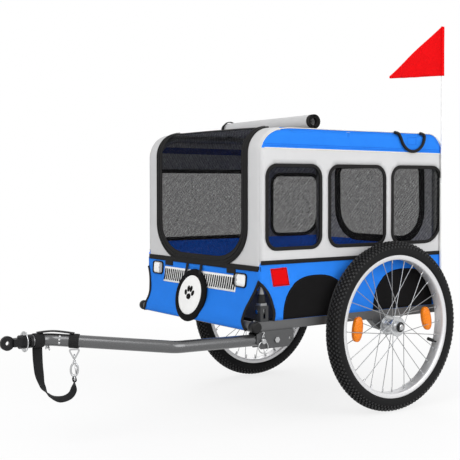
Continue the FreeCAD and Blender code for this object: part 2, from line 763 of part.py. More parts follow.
# cloth side walls with net windows
half_width = size("half_width")
cloth = size("cloth")
front_x = size("cabin_front")
rear_x = -size("cabin_rear")
roof = roof_top
corner = size("corner_radius")
apex = band_front - size("tear_drop")
waist = apex - size("tear_waist_drop")
side_outline = [(front_x - size("tear_base"), rail_top, 0), (front_x - size("tear_waist"), waist, 60),
                (front_x, apex, 0), (front_x, roof, corner), (rear_x, roof, corner), (rear_x, apex, 0),
                (rear_x + size("tear_waist"), waist, 60), (rear_x + size("tear_base"), rail_top, 0)]
win_first = rear_x + size("win_behind")
span = (front_x - size("win_ahead") - win_first - size("win_gap") * 2) / 3
step = span + size("win_gap")


def side_wall(spans, low, high, net_low):
    wall = panel(side_outline, low, high)
    nets = []
    for x0, x1 in spans:
        shape = rounded_rectangle(x0, x1, win_low, win_high, size("win_round"))
        wall = wall.cut(panel(shape, low - 1, high + 1))
        nets.append(panel(shape, net_low, net_low + size("net")))
    return wall, Part.makeCompound(nets)


# three windows on the left; on the right the two front ones are one wide window
three = [(win_first + step * i, win_first + step * i + span) for i in range(3)]
two = [three[0], (three[1][0], three[2][1])]
wall, nets = side_wall(three, half_width - cloth, half_width, half_width - cloth)
keep_shape("left_wall", wall)
keep_shape("left_windows", nets)
wall, nets = side_wall(two, -half_width, cloth - half_width, cloth - half_width - size("net"))
keep_shape("right_wall", wall)
keep_shape("right_windows", nets)

# front: two cloth posts, a net door that turns over the top edge, and a sloping apron
half = cloth / 2
turn = corner - half
over = [(front_x - half, band_front, 0), (front_x - half, roof - half, turn),
        (front_x - corner, roof - half, 0)]
front_sheet = strip(over, cloth, cloth - half_width, half_width - cloth)


# the door's outline, drawn out through the front
def door_prism(spare):
    wide = door_half + spare
    round_low = size("door_round") + spare
    outline = [(-wide, band_front - spare, round_low), (wide, band_front - spare, round_low),
               (wide, roof + corner, 0), (-wide, roof + corner, 0)]
    prism = panel(outline, 0, corner * 2)
    prism.rotate(Vec(), Vec(0, 0, 1), -90)
    prism.translate(Vec(float(front_x) - float(corner) * 1.5, 0, 0))
    return prism


posts = front_sheet.cut(door_prism(size("face_gap"))).Solids
posts.sort(key=lambda one: one.CenterOfMass.y)
keep_shape("left_front_post", posts[-1])
keep_shape("right_front_post", posts[0])
keep_shape("front_door", front_sheet.common(door_prism(size("face_gap") * 0)))
apron_x = tube_front + size("tube_od") / 2 + size("face_gap") * 3 + half
apron_low = rail_mid - 10
apron = strip([(front_x - half, band_front - size("cloth_gap"), 0), (apron_x, rail_mid, size("apron_radius")),
               (apron_x, apron_low, 0)], cloth, cloth - half_width, half_width - cloth)
deep_x = float(apron_x) + float(size("tube_od"))
for sign in (1, -1):
    y0 = sign * (float(half_width) - float(size("tear_base")) - 2)
    y1 = sign * (float(half_width) + 1)
    low = float(apron_low) - 1
    path = [Vec(0, y0, low), Vec(0, y1, low), Vec(0, y1, float(apex)), Vec(0, y0, low)]
    corner_cut = Part.Face(Part.makePolygon(path)).extrude(Vec(deep_x, 0, 0))
    apron = apron.cut(corner_cut)
keep_shape("front_apron", apron)

# rear wall with one net window, and the roof
back = [(rear_x + half, rail_top, 0), (rear_x + half, roof - half, turn), (rear_x + corner, roof - half, 0)]
rear = strip(back, cloth, cloth - half_width, half_width - cloth)
side = door_half - size("rear_margin")
hole = panel([(-side, win_low, size("door_round")), (side, win_low, size("door_round")),
              (side, roof - corner, size("win_round")), (-side, roof - corner, size("win_round"))], -30, 30)
hole.rotate(Vec(), Vec(0, 0, 1), 90)
hole.translate(Vec(float(rear_x), 0, 0))
rear_net = rear.common(hole)
slim = Part.makeBox(float(size("net")), 2 * float(half_width), float(roof),
                    Vec(float(rear_x), -float(half_width), 0))
keep_shape("rear_wall", rear.cut(hole))
keep_shape("rear_window", rear_net.common(slim))
keep(block("roof_cloth", front_x - rear_x - corner * 2, half_width * 2 - cloth * 2, cloth, 0, 0, 0),
     "roof_cloth", rear_x + corner, cloth - half_width, roof - cloth)

# rain cover rolled up across the roof
roll_r = float(size("roll_od")) / 2
roll_high = float(roof) + roll_r + float(size("face_gap"))
roll_x = float(front_x) - float(size("roll_back"))
lean = float(size("roll_lean"))
roll_y = float(half_width) - float(size("roll_inset"))
start = Vec(roll_x - lean, -roll_y, roll_high)
way = Vec(2 * lean, 2 * roll_y, 0)
keep_shape("cover_roll", Part.makeCylinder(roll_r, way.Length, start, way))

# padded lamps on the apron, and the badge that hangs from the band on two loops
slope = math.atan((float(apron_x) - float(front_x) + float(half)) / (float(band_front)
                                                                   - float(rail_mid)))
skin = float(half) + float(size("face_gap"))
band = Vec(float(front_x) - float(half), 0, float(band_front))
down = Vec(math.sin(slope), 0, -math.cos(slope))
out = Vec(math.cos(slope), 0, math.sin(slope))


# a flat shape in the YZ plane laid on the apron, a distance below the band
def on_apron(shape, drop, y, lift):
    shape.rotate(Vec(), Vec(0, 1, 0), -math.degrees(slope))
    shape.translate(band + down * drop + out * lift + Vec(0, y, 0))
    return shape


lamps = []
wide, tall = float(size("lamp_wide")), float(size("lamp_high"))
for sign in (1, -1):
    lamp = panel(rounded_rectangle(-wide / 2, wide / 2, -tall / 2, tall / 2, 8), 0, size("lamp_thick"))
    lamp.rotate(Vec(), Vec(0, 0, 1), -90)
    lamp_y = sign * (float(door_half) - float(size("lamp_inset")))
    lamps.append(on_apron(lamp, float(size("lamp_drop")), lamp_y, skin))
keep_shape("padded_lamps", Part.makeCompound(lamps))
badge_r = float(size("badge_od")) / 2
disc = Part.makeCylinder(badge_r, float(size("badge_thick")), Vec(), Vec(1, 0, 0))
disc = disc.makeFillet(4, [e for e in disc.Edges if len(e.Vertexes) == 1])
drop = float(size("badge_drop")) + badge_r
loops = [Part.makeBox(2, 9, drop - badge_r + 18, Vec(0, y - 4.5, badge_r - 20)) for y in (-16, 16)]
badge = on_apron(disc.multiFuse(loops), drop, -float(size("badge_side")), skin)
keep_shape("badge_disc", badge)

# drawbar bracket under the left rail
bracket_half = size("bar_od") / 2 + size("face_gap") + size("bracket_plate")
body = new_body("drawbar_bracket")
sk = sketch(body, "bracket_outline", "XZ_Plane")
top = rail_low - bar_axis
fore = size("lock_reach") + size("bracket_end")
aft = -size("lock_reach") - size("bracket_tail")
low = -size("bar_od") / 2 - size("bracket_lip")
polygon(sk, [(aft, top), (fore - 18, top), (fore, top - 6), (fore, low + 14), (fore - 14, low),
             (aft + 18, low), (aft, low + 18)])
pad(body, sk, bracket_half * 2, True)
sk = sketch(body, "bracket_channel", "YZ_Plane")
slot = bracket_half - size("bracket_plate")
polygon(sk, [(-slot, low - 1), (slot, low - 1), (slot, top - 3), (-slot, top - 3)])
pocket(body, sk)
sk = sketch(body, "bracket_holes", "XZ_Plane")
circle(sk, 0, 0, size("pivot_od") / 2 + size("run_gap"))
circle(sk, size("lock_reach"), 0, size("lock_od") / 2 + size("run_gap"))
circle(sk, -size("lock_reach"), 0, size("lock_od") / 2 + size("run_gap"))
pocket(body, sk)
keep(body, "drawbar_bracket", pivot_at, rail_y, bar_axis)
shank = rod("pivot_shank", size("pivot_od") / 2, bracket_half * 2 + 2, pivot_at,
            rail_y - bracket_half - 1, bar_axis, along_y)
head = hexagon("pivot_head", size("pivot_od") * 0.85, 6, pivot_at, rail_y + bracket_half,
               bar_axis, along_y)
nut = hexagon("pivot_nut", size("pivot_od") * 0.85, 8, pivot_at, rail_y - bracket_half - 8,
              bar_axis, along_y)
keep(fused("pivot_bolt", shank, head, nut), "pivot_bolt")

# lock pin with its pull ring
lock_x = pivot_at + size("lock_reach")
shank = rod("lock_shank", size("lock_od") / 2, bracket_half * 2 + 16, lock_x, rail_y - bracket_half - 8,
            bar_axis, along_y)
head = rod("lock_head", size("lock_od") / 2 + 3, 9, lock_x, rail_y + bracket_half + 0.3,
           bar_axis, along_y)
ring = doc.addObject("Part::Torus", "lock_ring")
bind(ring, "Radius1", size("lock_od") * 2)
ring.Radius2 = 1.5
ring.Placement = FreeCAD.Placement(Vec(), along_y)
for axis, value in zip("xyz", (lock_x, rail_y + bracket_half + 5, bar_axis - size("lock_od") * 2)):
    bind(ring, ".Placement.Base." + axis, value)
keep(fused("lock_pin", shank, head, ring), "lock_pin")


# drawbar tube with two bends
def drawbar():
    outer = float(size("bar_od")) / 2
    inner_r = outer - float(size("bar_wall"))
    y, z = float(rail_y), float(bar_axis)
    pivot = Vec(float(pivot_at), y, z)
    one = Vec(float(bend_one), y, z + float(size("bend_rise")))
    two = Vec(float(bend_two), float(size("hitch_side")), float(hitch_height))
    end = Vec(float(bar_end), two.y, two.z)
    tail_way = (one - pivot).normalize()
    chain = [pivot - tail_way * outer, one, two, end]
    edges = []
    place = chain[0]
    for before, here, after in zip(chain, chain[1:], chain[2:]):
        back = (before - here).normalize()
        ahead = (after - here).normalize()
        half_turn = back.getAngle(ahead) / 2
        radius = float(size("bar_round"))
        reach = radius / math.tan(half_turn)
        middle = here + (back + ahead).normalize() * (radius / math.sin(half_turn) - radius)
        edges.append(Part.LineSegment(place, here + back * reach).toShape())
        edges.append(Part.Arc(here + back * reach, middle, here + ahead * reach).toShape())
        place = here + ahead * reach
    edges.append(Part.LineSegment(place, end).toShape())
    spine = Part.Wire(edges)
    skins = []
    for radius in (outer, inner_r):
        section = Part.Wire(Part.makeCircle(radius, chain[0], tail_way))
        skins.append(spine.makePipeShell([section], True, False))
    tube = skins[0].cut(skins[1])
    rear_box = Part.makeBox(outer + 5, 4 * outer, 4 * outer,
                            Vec(pivot.x - outer - 5, y - 2 * outer, z - 2 * outer))
    round_end = Part.makeCylinder(outer, 4 * outer, Vec(pivot.x, y - 2 * outer, z), Vec(0, 1, 0))
    tube = tube.cut(rear_box.cut(round_end))
    hole = Part.makeCylinder(float(size("pivot_od")) / 2 + float(size("run_gap")), 4 * outer,
                             Vec(pivot.x, y - 2 * outer, z), Vec(0, 1, 0))
    tube = tube.cut(hole)
    pin = float(size("lock_od")) / 2 + 0.3
    back_off = float(size("lock_reach")) - math.sqrt(float(size("lock_reach")) ** 2 - outer ** 2)
    notch = Part.makeBox(2 * pin + back_off + 1, 4 * outer, 2 * outer,
                         Vec(float(lock_x) - pin - back_off - 1, y - 2 * outer, z - pin))
    return tube.cut(notch)


keep_shape("drawbar_tube", drawbar())

# hitch fork in the end of the drawbar, with its upright pin and spring ring
hitch_y = size("hitch_side")
hitch_z = hitch_height
fork_x = bar_end
swivel = fork_x + size("fork_pin")
plug = rod("fork_plug", size("bar_od") / 2 - size("bar_wall") - size("run_gap"), 25, fork_x - 25,
           hitch_y, hitch_z, along_x)
barrel = rod("fork_barrel", fork_od / 2, size("fork_long"), fork_x, hitch_y, hitch_z, along_x)
slot_high = size("tongue_thick") + size("face_gap") * 2
slot = block("fork_slot", size("fork_long"), fork_od + 2, slot_high,
             swivel - size("tongue_wide") / 2 - 2, hitch_y - fork_od / 2 - 1, hitch_z - slot_high / 2)
hole = rod("fork_hole", size("lock_od") / 2 + size("run_gap"), fork_od + 2, swivel, hitch_y,
           hitch_z - fork_od / 2 - 1, upright)
keep(minus("hitch_fork", fused("fork_solid", plug, barrel), fused("fork_cuts", slot, hole)), "hitch_fork")
ring_r = fork_od / 2 + 8
shank = rod("hitch_shank", size("lock_od") / 2, ring_r * 2, swivel, hitch_y, hitch_z - ring_r, upright)
head = rod("hitch_head", size("lock_od") / 2 + 3, 6, swivel, hitch_y,
           hitch_z + fork_od / 2 + 0.3, upright)
ring = doc.addObject("Part::Torus", "hitch_ring")
bind(ring, "Radius1", ring_r)
ring.Radius2 = 1.5
ring.Placement = FreeCAD.Placement(Vec(), along_x)
for axis, value in zip("xyz", (swivel, hitch_y, hitch_z)):
    bind(ring, ".Placement.Base." + axis, value)
keep(fused("hitch_pin", shank, head, ring), "hitch_pin")

# hitch eye: a tongue in the fork and an upright plate for the bicycle's axle
wide = size("tongue_wide")
thick = size("tongue_thick")
bar = block("eye_bar", eye_at - swivel, wide, thick, swivel, hitch_y - wide / 2, hitch_z - thick / 2)
heel = rod("eye_heel", wide / 2, thick, swivel, hitch_y, hitch_z - thick / 2, upright)
plate = rod("eye_plate", size("eye_od") / 2, size("eye_thick"), eye_at,
            hitch_y - size("eye_thick") / 2, hitch_z, along_y)
spare = size("eye_od") / 2 - 4
flat = (wide - size("eye_thick")) / 2 + 1
cut_a = block("eye_flat_a", spare + 8, flat, thick + 2, eye_at - spare,
              hitch_y + size("eye_thick") / 2, hitch_z - thick / 2 - 1)
cut_b = block("eye_flat_b", spare + 8, flat, thick + 2, eye_at - spare,
              hitch_y - size("eye_thick") / 2 - flat, hitch_z - thick / 2 - 1)
hole = rod("eye_hole", size("eye_bore") / 2, size("eye_thick") + 2, eye_at,
           hitch_y - size("eye_thick") / 2 - 1, hitch_z, along_y)
turn_hole = rod("eye_turn_hole", size("lock_od") / 2 + size("run_gap"), thick + 2, swivel, hitch_y,
                hitch_z - thick / 2 - 1, upright)
keep(minus("hitch_eye", fused("eye_solid", bar, heel, plate),
           fused("eye_cuts", cut_a, cut_b, hole, turn_hole)), "hitch_eye")


# safety strap: a band round the drawbar with a ring, a snap hook and a hanging loop of webbing
def strap_parts():
    wide_half = float(size("webbing")) / 2
    thin = float(size("web_thick"))
    bar_r = float(size("bar_od")) / 2
    one = Vec(float(bend_one), float(rail_y), float(bar_axis) + float(size("bend_rise")))
    two = Vec(float(bend_two), float(hitch_y), float(hitch_z))
    way = (two - one).normalize()
    anchor = one + way * ((float(bend_two - size("ring_back")) - one.x) / way.x)
    inner_r = bar_r + 0.3
    ends = [anchor - way * wide_half, way]
    band_shape = Part.makeCylinder(inner_r + thin, 2 * wide_half, *ends)
    band_shape = band_shape.cut(Part.makeCylinder(inner_r, 2 * wide_half, *ends))
    front = Vec(float(fork_x) - wide_half - 4, float(hitch_y), 0)
    reach = math.hypot(front.x - anchor.x, front.y - anchor.y)
    heading = math.degrees(math.atan2(front.y - anchor.y, front.x - anchor.x))
    top = anchor.z - inner_r - thin - 1.2
    wire = 4
    triangle = [(-17, top, 5), (17, top, 5), (0, top - 33, 5)]
    core = [(-10.5, top - wire, 2), (10.5, top - wire, 2), (0, top - 24.5, 2)]
    d_ring = panel(triangle, -2, 2).cut(panel(core, -3, 3))
    hang = top - 33 + 14.3
    hook = panel(rounded_rectangle(-10, 10, hang - 52, hang + 4.5, 9), -2.5, 2.5)
    foot = rounded_rectangle(-wide_half - 4, wide_half + 4, hang - 62, hang - 46, 4)
    hook = hook.fuse(panel(foot, -2.5, 2.5))
    hook = hook.cut(panel(rounded_rectangle(-5.5, 5.5, hang - 30, hang, 5), -3, 3))
    window = rounded_rectangle(-wide_half - 0.6, wide_half + 0.6, hang - 57.5, hang - 50, 1)
    hook = hook.cut(panel(window, -3, 3))
    hook.rotate(Vec(), Vec(0, 0, 1), 90)
    eye_z = hang - 59.75
    eye = Part.makeCylinder(3.4 + thin, 2 * wide_half, Vec(0, -wide_half, eye_z), Vec(0, 1, 0))
    bottom = float(hitch_z) - float(size("strap_hang"))
    points = eased([(0, eye_z - 3.4 - thin / 2), (8, eye_z - 30), (reach * 0.36, bottom),
                    (reach * 0.7, bottom + 26), (reach * 0.95, bottom + 90),
                    (reach, float(hitch_z) - inner_r - thin / 2)])
    hanging = strip(points, thin, -wide_half, wide_half)
    route = Part.Wire(runs(points)).Length
    print("strap bend radii", [round(r) for x, z, r in points if r], "length", round(route))
    print("strap volume", round(hanging.Volume), "section times length", round(2 * wide_half * thin * route))
    web = hanging.fuse(eye)
    web = web.cut(Part.makeCylinder(3.4, 2 * wide_half, Vec(0, -wide_half, eye_z), Vec(0, 1, 0)))
    moved = []
    for shape in (d_ring, hook, web):
        shape.rotate(Vec(), Vec(0, 0, 1), heading)
        shape.translate(Vec(anchor.x, anchor.y, 0))
        moved.append(shape)
    collar_at = [front - Vec(wide_half, 0, -float(hitch_z)), Vec(1, 0, 0)]
    outer_ring = Part.makeCylinder(inner_r + thin, 2 * wide_half, *collar_at)
    inner_ring = Part.makeCylinder(inner_r, 2 * wide_half, *collar_at)
    moved[2] = moved[2].fuse(outer_ring).cut(inner_ring)
    return [band_shape] + moved


for label, shape in zip(("strap_band", "strap_ring", "snap_hook", "safety_strap"), strap_parts()):
    keep_shape(label, shape.removeSplitter())

# pennant on a pole that lifts out of its sleeve at the rear left corner
pole_x = size("pole_inset") - size("cabin_rear")
pole_y = half_width + size("sleeve_od") / 2 + size("face_gap")
socket = rail_low + 12
outer = rod("sleeve_outer", size("sleeve_od") / 2, sleeve_top - rail_low, pole_x, pole_y,
            rail_low, upright)
bore = rod("sleeve_bore", size("pole_od") / 2 + size("run_gap"), sleeve_top - socket + 1,
           pole_x, pole_y, socket, upright)
keep(minus("flag_sleeve", outer, bore), "flag_sleeve")
stick = rod("pole_stick", size("pole_od") / 2, pole_top - socket - size("face_gap"), pole_x,
            pole_y, socket + size("face_gap"), upright)
stop = rod("pole_stop", size("sleeve_od") / 2, 14, pole_x, pole_y,
           sleeve_top + size("face_gap"), upright)
keep(fused("flag_pole", stick, stop), "flag_pole")


def pennant():
    x, y = float(pole_x), float(pole_y)
    high = float(pole_top) - 2
    low = high - float(size("flag_tall"))
    half_thick = float(size("flag_thick")) / 2
    cloth_shape = panel([(x, low, 0), (x + float(size("flag_long")), low - 18, 4), (x, high, 0)],
                        y - half_thick, y + half_thick)
    sleeve_r = float(size("pole_od")) / 2 + 0.1
    tunnel = Part.makeCylinder(sleeve_r + 1.2, high - low, Vec(x, y, low))
    stick_hole = Part.makeCylinder(sleeve_r, high - low + 40, Vec(x, y, low - 20))
    return cloth_shape.fuse(tunnel).cut(stick_hole)


keep_shape("flag", pennant())

doc.recompute()
faults = []
for obj in doc.Objects:
    if "Invalid" in obj.State or "Error" in obj.State:
        faults.append(obj.Name + " failed")
for obj in nodes:
    if obj.Shape.isNull() or not obj.Shape.isValid() or not obj.Shape.Solids:
        faults.append(obj.Label + " has no valid shape")
if faults:
    raise RuntimeError("; ".join(faults))
os.makedirs("parts", exist_ok=True)
for obj in nodes:
    obj.Shape.exportStep("parts/%s.step" % obj.Label)
    print(obj.Label, len(obj.Shape.Solids), "solids, volume", round(obj.Shape.Volume))
print(len(nodes), "nodes")
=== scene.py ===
import bmesh
import bpy
import json
import math
from mathutils import Vector, noise
from mathutils.geometry import delaunay_2d_cdt
from mathutils.kdtree import KDTree
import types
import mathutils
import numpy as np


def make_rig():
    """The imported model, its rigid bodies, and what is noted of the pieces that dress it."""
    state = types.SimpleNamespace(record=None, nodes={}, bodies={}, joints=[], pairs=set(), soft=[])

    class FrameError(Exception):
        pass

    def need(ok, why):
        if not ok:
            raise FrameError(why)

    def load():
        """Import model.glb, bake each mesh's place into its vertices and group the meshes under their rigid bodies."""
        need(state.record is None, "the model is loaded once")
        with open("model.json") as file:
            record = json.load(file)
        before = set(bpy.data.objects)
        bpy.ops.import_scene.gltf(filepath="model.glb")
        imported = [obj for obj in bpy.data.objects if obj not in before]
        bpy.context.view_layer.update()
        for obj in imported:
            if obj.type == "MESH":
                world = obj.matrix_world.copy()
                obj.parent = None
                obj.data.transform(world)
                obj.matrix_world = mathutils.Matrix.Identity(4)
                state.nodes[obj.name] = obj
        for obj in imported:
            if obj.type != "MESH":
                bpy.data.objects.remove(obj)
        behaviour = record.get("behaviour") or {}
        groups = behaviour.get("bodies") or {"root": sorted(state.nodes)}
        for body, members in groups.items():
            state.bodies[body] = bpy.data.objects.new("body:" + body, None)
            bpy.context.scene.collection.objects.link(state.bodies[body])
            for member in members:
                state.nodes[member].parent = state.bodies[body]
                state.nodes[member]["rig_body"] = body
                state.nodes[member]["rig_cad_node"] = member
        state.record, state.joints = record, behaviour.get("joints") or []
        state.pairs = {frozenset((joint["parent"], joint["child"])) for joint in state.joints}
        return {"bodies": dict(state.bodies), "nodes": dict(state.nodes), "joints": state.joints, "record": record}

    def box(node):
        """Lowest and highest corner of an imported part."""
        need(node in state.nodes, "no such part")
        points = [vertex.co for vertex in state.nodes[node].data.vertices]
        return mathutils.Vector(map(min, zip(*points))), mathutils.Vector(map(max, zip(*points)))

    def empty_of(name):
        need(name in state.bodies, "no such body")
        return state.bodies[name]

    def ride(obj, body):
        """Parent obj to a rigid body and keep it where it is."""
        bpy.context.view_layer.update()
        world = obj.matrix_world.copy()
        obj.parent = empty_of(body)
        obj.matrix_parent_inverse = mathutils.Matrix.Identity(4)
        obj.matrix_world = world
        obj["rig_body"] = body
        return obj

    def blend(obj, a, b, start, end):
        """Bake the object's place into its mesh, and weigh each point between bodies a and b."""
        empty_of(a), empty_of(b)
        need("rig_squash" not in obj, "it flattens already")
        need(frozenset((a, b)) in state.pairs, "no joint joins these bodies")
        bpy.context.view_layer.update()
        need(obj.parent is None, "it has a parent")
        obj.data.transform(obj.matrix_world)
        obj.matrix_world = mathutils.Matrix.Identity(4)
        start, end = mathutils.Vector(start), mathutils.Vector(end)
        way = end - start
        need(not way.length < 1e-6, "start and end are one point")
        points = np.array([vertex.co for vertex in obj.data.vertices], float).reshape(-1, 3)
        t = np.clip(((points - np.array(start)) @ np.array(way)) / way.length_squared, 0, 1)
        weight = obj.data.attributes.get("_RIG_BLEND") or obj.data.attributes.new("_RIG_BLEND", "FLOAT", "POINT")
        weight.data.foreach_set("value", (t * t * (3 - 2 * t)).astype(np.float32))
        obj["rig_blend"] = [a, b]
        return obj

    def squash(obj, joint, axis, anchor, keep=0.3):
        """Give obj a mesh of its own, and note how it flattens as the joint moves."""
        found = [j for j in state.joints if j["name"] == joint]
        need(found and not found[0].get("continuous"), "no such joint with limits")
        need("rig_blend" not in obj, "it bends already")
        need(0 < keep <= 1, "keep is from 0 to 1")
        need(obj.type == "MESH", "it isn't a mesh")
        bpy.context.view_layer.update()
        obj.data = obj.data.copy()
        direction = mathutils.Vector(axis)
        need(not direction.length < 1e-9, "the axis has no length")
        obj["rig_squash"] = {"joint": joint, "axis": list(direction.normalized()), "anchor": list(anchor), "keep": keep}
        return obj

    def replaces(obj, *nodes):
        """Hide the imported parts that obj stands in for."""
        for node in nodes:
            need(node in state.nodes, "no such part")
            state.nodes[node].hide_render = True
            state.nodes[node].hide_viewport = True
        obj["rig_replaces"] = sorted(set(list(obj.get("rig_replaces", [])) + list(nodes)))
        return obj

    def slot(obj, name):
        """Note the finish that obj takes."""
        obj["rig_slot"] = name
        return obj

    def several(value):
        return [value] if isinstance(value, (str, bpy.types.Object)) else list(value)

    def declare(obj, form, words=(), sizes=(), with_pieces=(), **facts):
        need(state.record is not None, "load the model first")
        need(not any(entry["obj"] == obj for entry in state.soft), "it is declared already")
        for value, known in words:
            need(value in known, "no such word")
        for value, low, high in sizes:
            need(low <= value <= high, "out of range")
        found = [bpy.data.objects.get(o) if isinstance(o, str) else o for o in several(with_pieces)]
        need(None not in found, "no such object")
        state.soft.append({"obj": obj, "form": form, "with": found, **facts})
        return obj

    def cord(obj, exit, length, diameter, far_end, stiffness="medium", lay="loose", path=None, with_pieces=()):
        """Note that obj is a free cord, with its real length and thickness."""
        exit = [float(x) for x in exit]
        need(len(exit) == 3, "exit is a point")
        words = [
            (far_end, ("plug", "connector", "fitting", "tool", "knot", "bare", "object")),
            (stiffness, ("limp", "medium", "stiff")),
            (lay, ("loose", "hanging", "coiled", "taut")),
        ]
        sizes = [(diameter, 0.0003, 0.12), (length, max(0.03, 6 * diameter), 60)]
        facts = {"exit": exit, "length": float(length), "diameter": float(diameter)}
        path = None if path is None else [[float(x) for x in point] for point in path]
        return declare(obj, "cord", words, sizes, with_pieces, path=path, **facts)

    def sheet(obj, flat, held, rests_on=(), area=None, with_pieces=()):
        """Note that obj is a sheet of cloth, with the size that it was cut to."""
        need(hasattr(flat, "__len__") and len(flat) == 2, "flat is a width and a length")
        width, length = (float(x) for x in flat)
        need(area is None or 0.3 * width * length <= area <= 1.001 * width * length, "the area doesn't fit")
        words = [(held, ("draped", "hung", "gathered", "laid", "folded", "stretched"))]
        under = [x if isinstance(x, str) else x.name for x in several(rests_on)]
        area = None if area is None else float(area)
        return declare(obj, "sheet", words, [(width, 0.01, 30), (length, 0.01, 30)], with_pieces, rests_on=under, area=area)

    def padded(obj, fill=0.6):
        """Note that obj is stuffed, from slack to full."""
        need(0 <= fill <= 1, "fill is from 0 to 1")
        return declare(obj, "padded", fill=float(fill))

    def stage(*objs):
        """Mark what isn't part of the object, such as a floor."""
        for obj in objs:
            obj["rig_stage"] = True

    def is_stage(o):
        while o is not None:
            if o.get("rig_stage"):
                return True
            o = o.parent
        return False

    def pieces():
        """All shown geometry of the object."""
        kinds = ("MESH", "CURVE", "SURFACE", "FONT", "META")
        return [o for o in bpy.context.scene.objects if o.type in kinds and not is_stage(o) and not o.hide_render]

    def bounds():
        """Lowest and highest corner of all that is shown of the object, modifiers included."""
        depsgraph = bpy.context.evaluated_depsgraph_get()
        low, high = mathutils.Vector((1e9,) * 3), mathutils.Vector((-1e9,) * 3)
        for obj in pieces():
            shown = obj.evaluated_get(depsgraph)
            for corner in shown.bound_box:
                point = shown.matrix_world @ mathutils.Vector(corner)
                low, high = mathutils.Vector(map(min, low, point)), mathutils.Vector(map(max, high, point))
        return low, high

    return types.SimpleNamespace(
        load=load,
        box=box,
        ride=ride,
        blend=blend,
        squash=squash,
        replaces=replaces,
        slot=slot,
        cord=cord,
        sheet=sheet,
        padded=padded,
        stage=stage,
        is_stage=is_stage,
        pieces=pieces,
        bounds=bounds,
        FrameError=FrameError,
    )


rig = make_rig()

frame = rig.load()
cadBox = [list(corner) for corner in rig.bounds()]
nodes = frame["nodes"]
joints = {joint["name"]: joint for joint in frame["joints"]}
scene = bpy.context.scene
hands = ((1, "left"), (-1, "right"))

wheelSpot = Vector(joints["left_wheel_spin"]["pos_m"])
axleX = wheelSpot.x  # stations below are metres ahead of the axle
wallLow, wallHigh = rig.box("left_wall")
frontX, rearX = wallHigh.x, wallLow.x
halfY, roofZ, sillZ = wallHigh.y, wallHigh.z, wallLow.z
print("frame loaded", len(nodes), "nodes")


def station(x):
    return x + axleX


def wheelCentre(sign):
    return Vector((wheelSpot.x, sign * wheelSpot.y, wheelSpot.z))


xWay, yWay, zWay = Vector((1, 0, 0)), Vector((0, 1, 0)), Vector((0, 0, 1))


def turns(count):  # even angles round a full turn
    return [2 * math.pi * k / count for k in range(count)]


def clamp(share):
    return min(1.0, max(0.0, share))


def arc(share):  # half a wave over a share of 0 to 1
    return max(0.0, math.sin(math.pi * share))


def plan(*spots):  # corners or a line in a surface's own coordinates
    return [Vector(spot) for spot in spots]


# finishes

def feed(tree, node, sockets):  # links sockets and sets plain values
    for key, value in sockets.items():
        if isinstance(value, bpy.types.NodeSocket):
            tree.links.new(value, node.inputs[key])
        else:
            node.inputs[key].default_value = value
    return node


def addNode(tree, kind, sockets=None, **settings):
    node = tree.nodes.new(kind)
    for key, value in settings.items():
        setattr(node, key, value)
    return feed(tree, node, sockets or {})


def newFinish(name):
    mat = bpy.data.materials.new(name)
    mat.use_nodes = True
    return mat, mat.node_tree, mat.node_tree.nodes["Principled BSDF"]


def mathNode(tree, kind, a, b):
    return addNode(tree, "ShaderNodeMath", {0: a, 1: b}, operation=kind).outputs[0]


def mixOf(tree, first, second, share):
    parts = [mathNode(tree, "MULTIPLY", one, part) for one, part in ((first, share), (second, 1 - share))]
    return mathNode(tree, "ADD", *parts)


def coords(tree, kind, turn=0.0, centre=(0, 0, 0)):
    source = addNode(tree, "ShaderNodeTexCoord").outputs[kind]
    sockets = {"Vector": source, "Rotation": (0, 0, turn), "Location": [-c for c in centre]}
    return addNode(tree, "ShaderNodeMapping", sockets).outputs["Vector"]


def wave(tree, vector, direction, pitch, kind="bands"):
    settings = {"wave_type": kind.upper(), kind + "_direction": direction}
    sockets = {"Vector": vector, "Scale": math.pi / 10 / pitch}
    return addNode(tree, "ShaderNodeTexWave", sockets, **settings).outputs["Fac"]


def grain(tree, vector, size, detail=3.0):
    sockets = {"Vector": vector, "Scale": 1 / size, "Detail": detail}
    return addNode(tree, "ShaderNodeTexNoise", sockets).outputs["Fac"]


def span(tree, fac, low, high, fromLow=0.0, fromHigh=1.0):
    sockets = {"Value": fac, "From Min": fromLow, "From Max": fromHigh, "To Min": low, "To Max": high}
    return addNode(tree, "ShaderNodeMapRange", sockets).outputs["Result"]


def tint(tree, fac, colour, dark, light):
    ramp = addNode(tree, "ShaderNodeValToRGB", {"Fac": fac})
    for stop, factor in zip(ramp.color_ramp.elements, (dark, light)):
        stop.color = (*(min(1.0, c * factor) for c in colour), 1)
    return ramp.outputs["Color"]


def bump(tree, bsdf, height, depth, strength, before=None):
    sockets = {"Height": height, "Distance": depth, "Strength": strength}
    if before:
        sockets["Normal"] = before
    normal = addNode(tree, "ShaderNodeBump", sockets).outputs["Normal"]
    tree.links.new(normal, bsdf.inputs["Normal"])
    return normal


def clothFinish(name, colour, pitch=0.0011, vary=0.10, gloss=0.12, glow=None):
    mat, tree, bsdf = newFinish(name)
    uv = coords(tree, "UV")
    weave = mathNode(tree, "MULTIPLY", wave(tree, uv, "X", pitch), wave(tree, uv, "Y", pitch))
    look = mixOf(tree, grain(tree, uv, 0.05, 4), weave, 0.75)
    soft = bump(tree, bsdf, grain(tree, uv, 0.06, 2), 0.004, 0.35)
    bump(tree, bsdf, weave, 0.0004, 0.5, soft)
    feed(tree, bsdf, {"Base Color": tint(tree, look, colour, 1 - vary, 1 + vary), "Roughness": 0.85,
                      "Specular IOR Level": gloss})
    if glow:  # painted light: an emission glow that lifts a lining as if more light reached the cabin's inside
        feed(tree, bsdf, {"Emission Color": (*glow[:3], 1), "Emission Strength": glow[3]})
    return mat


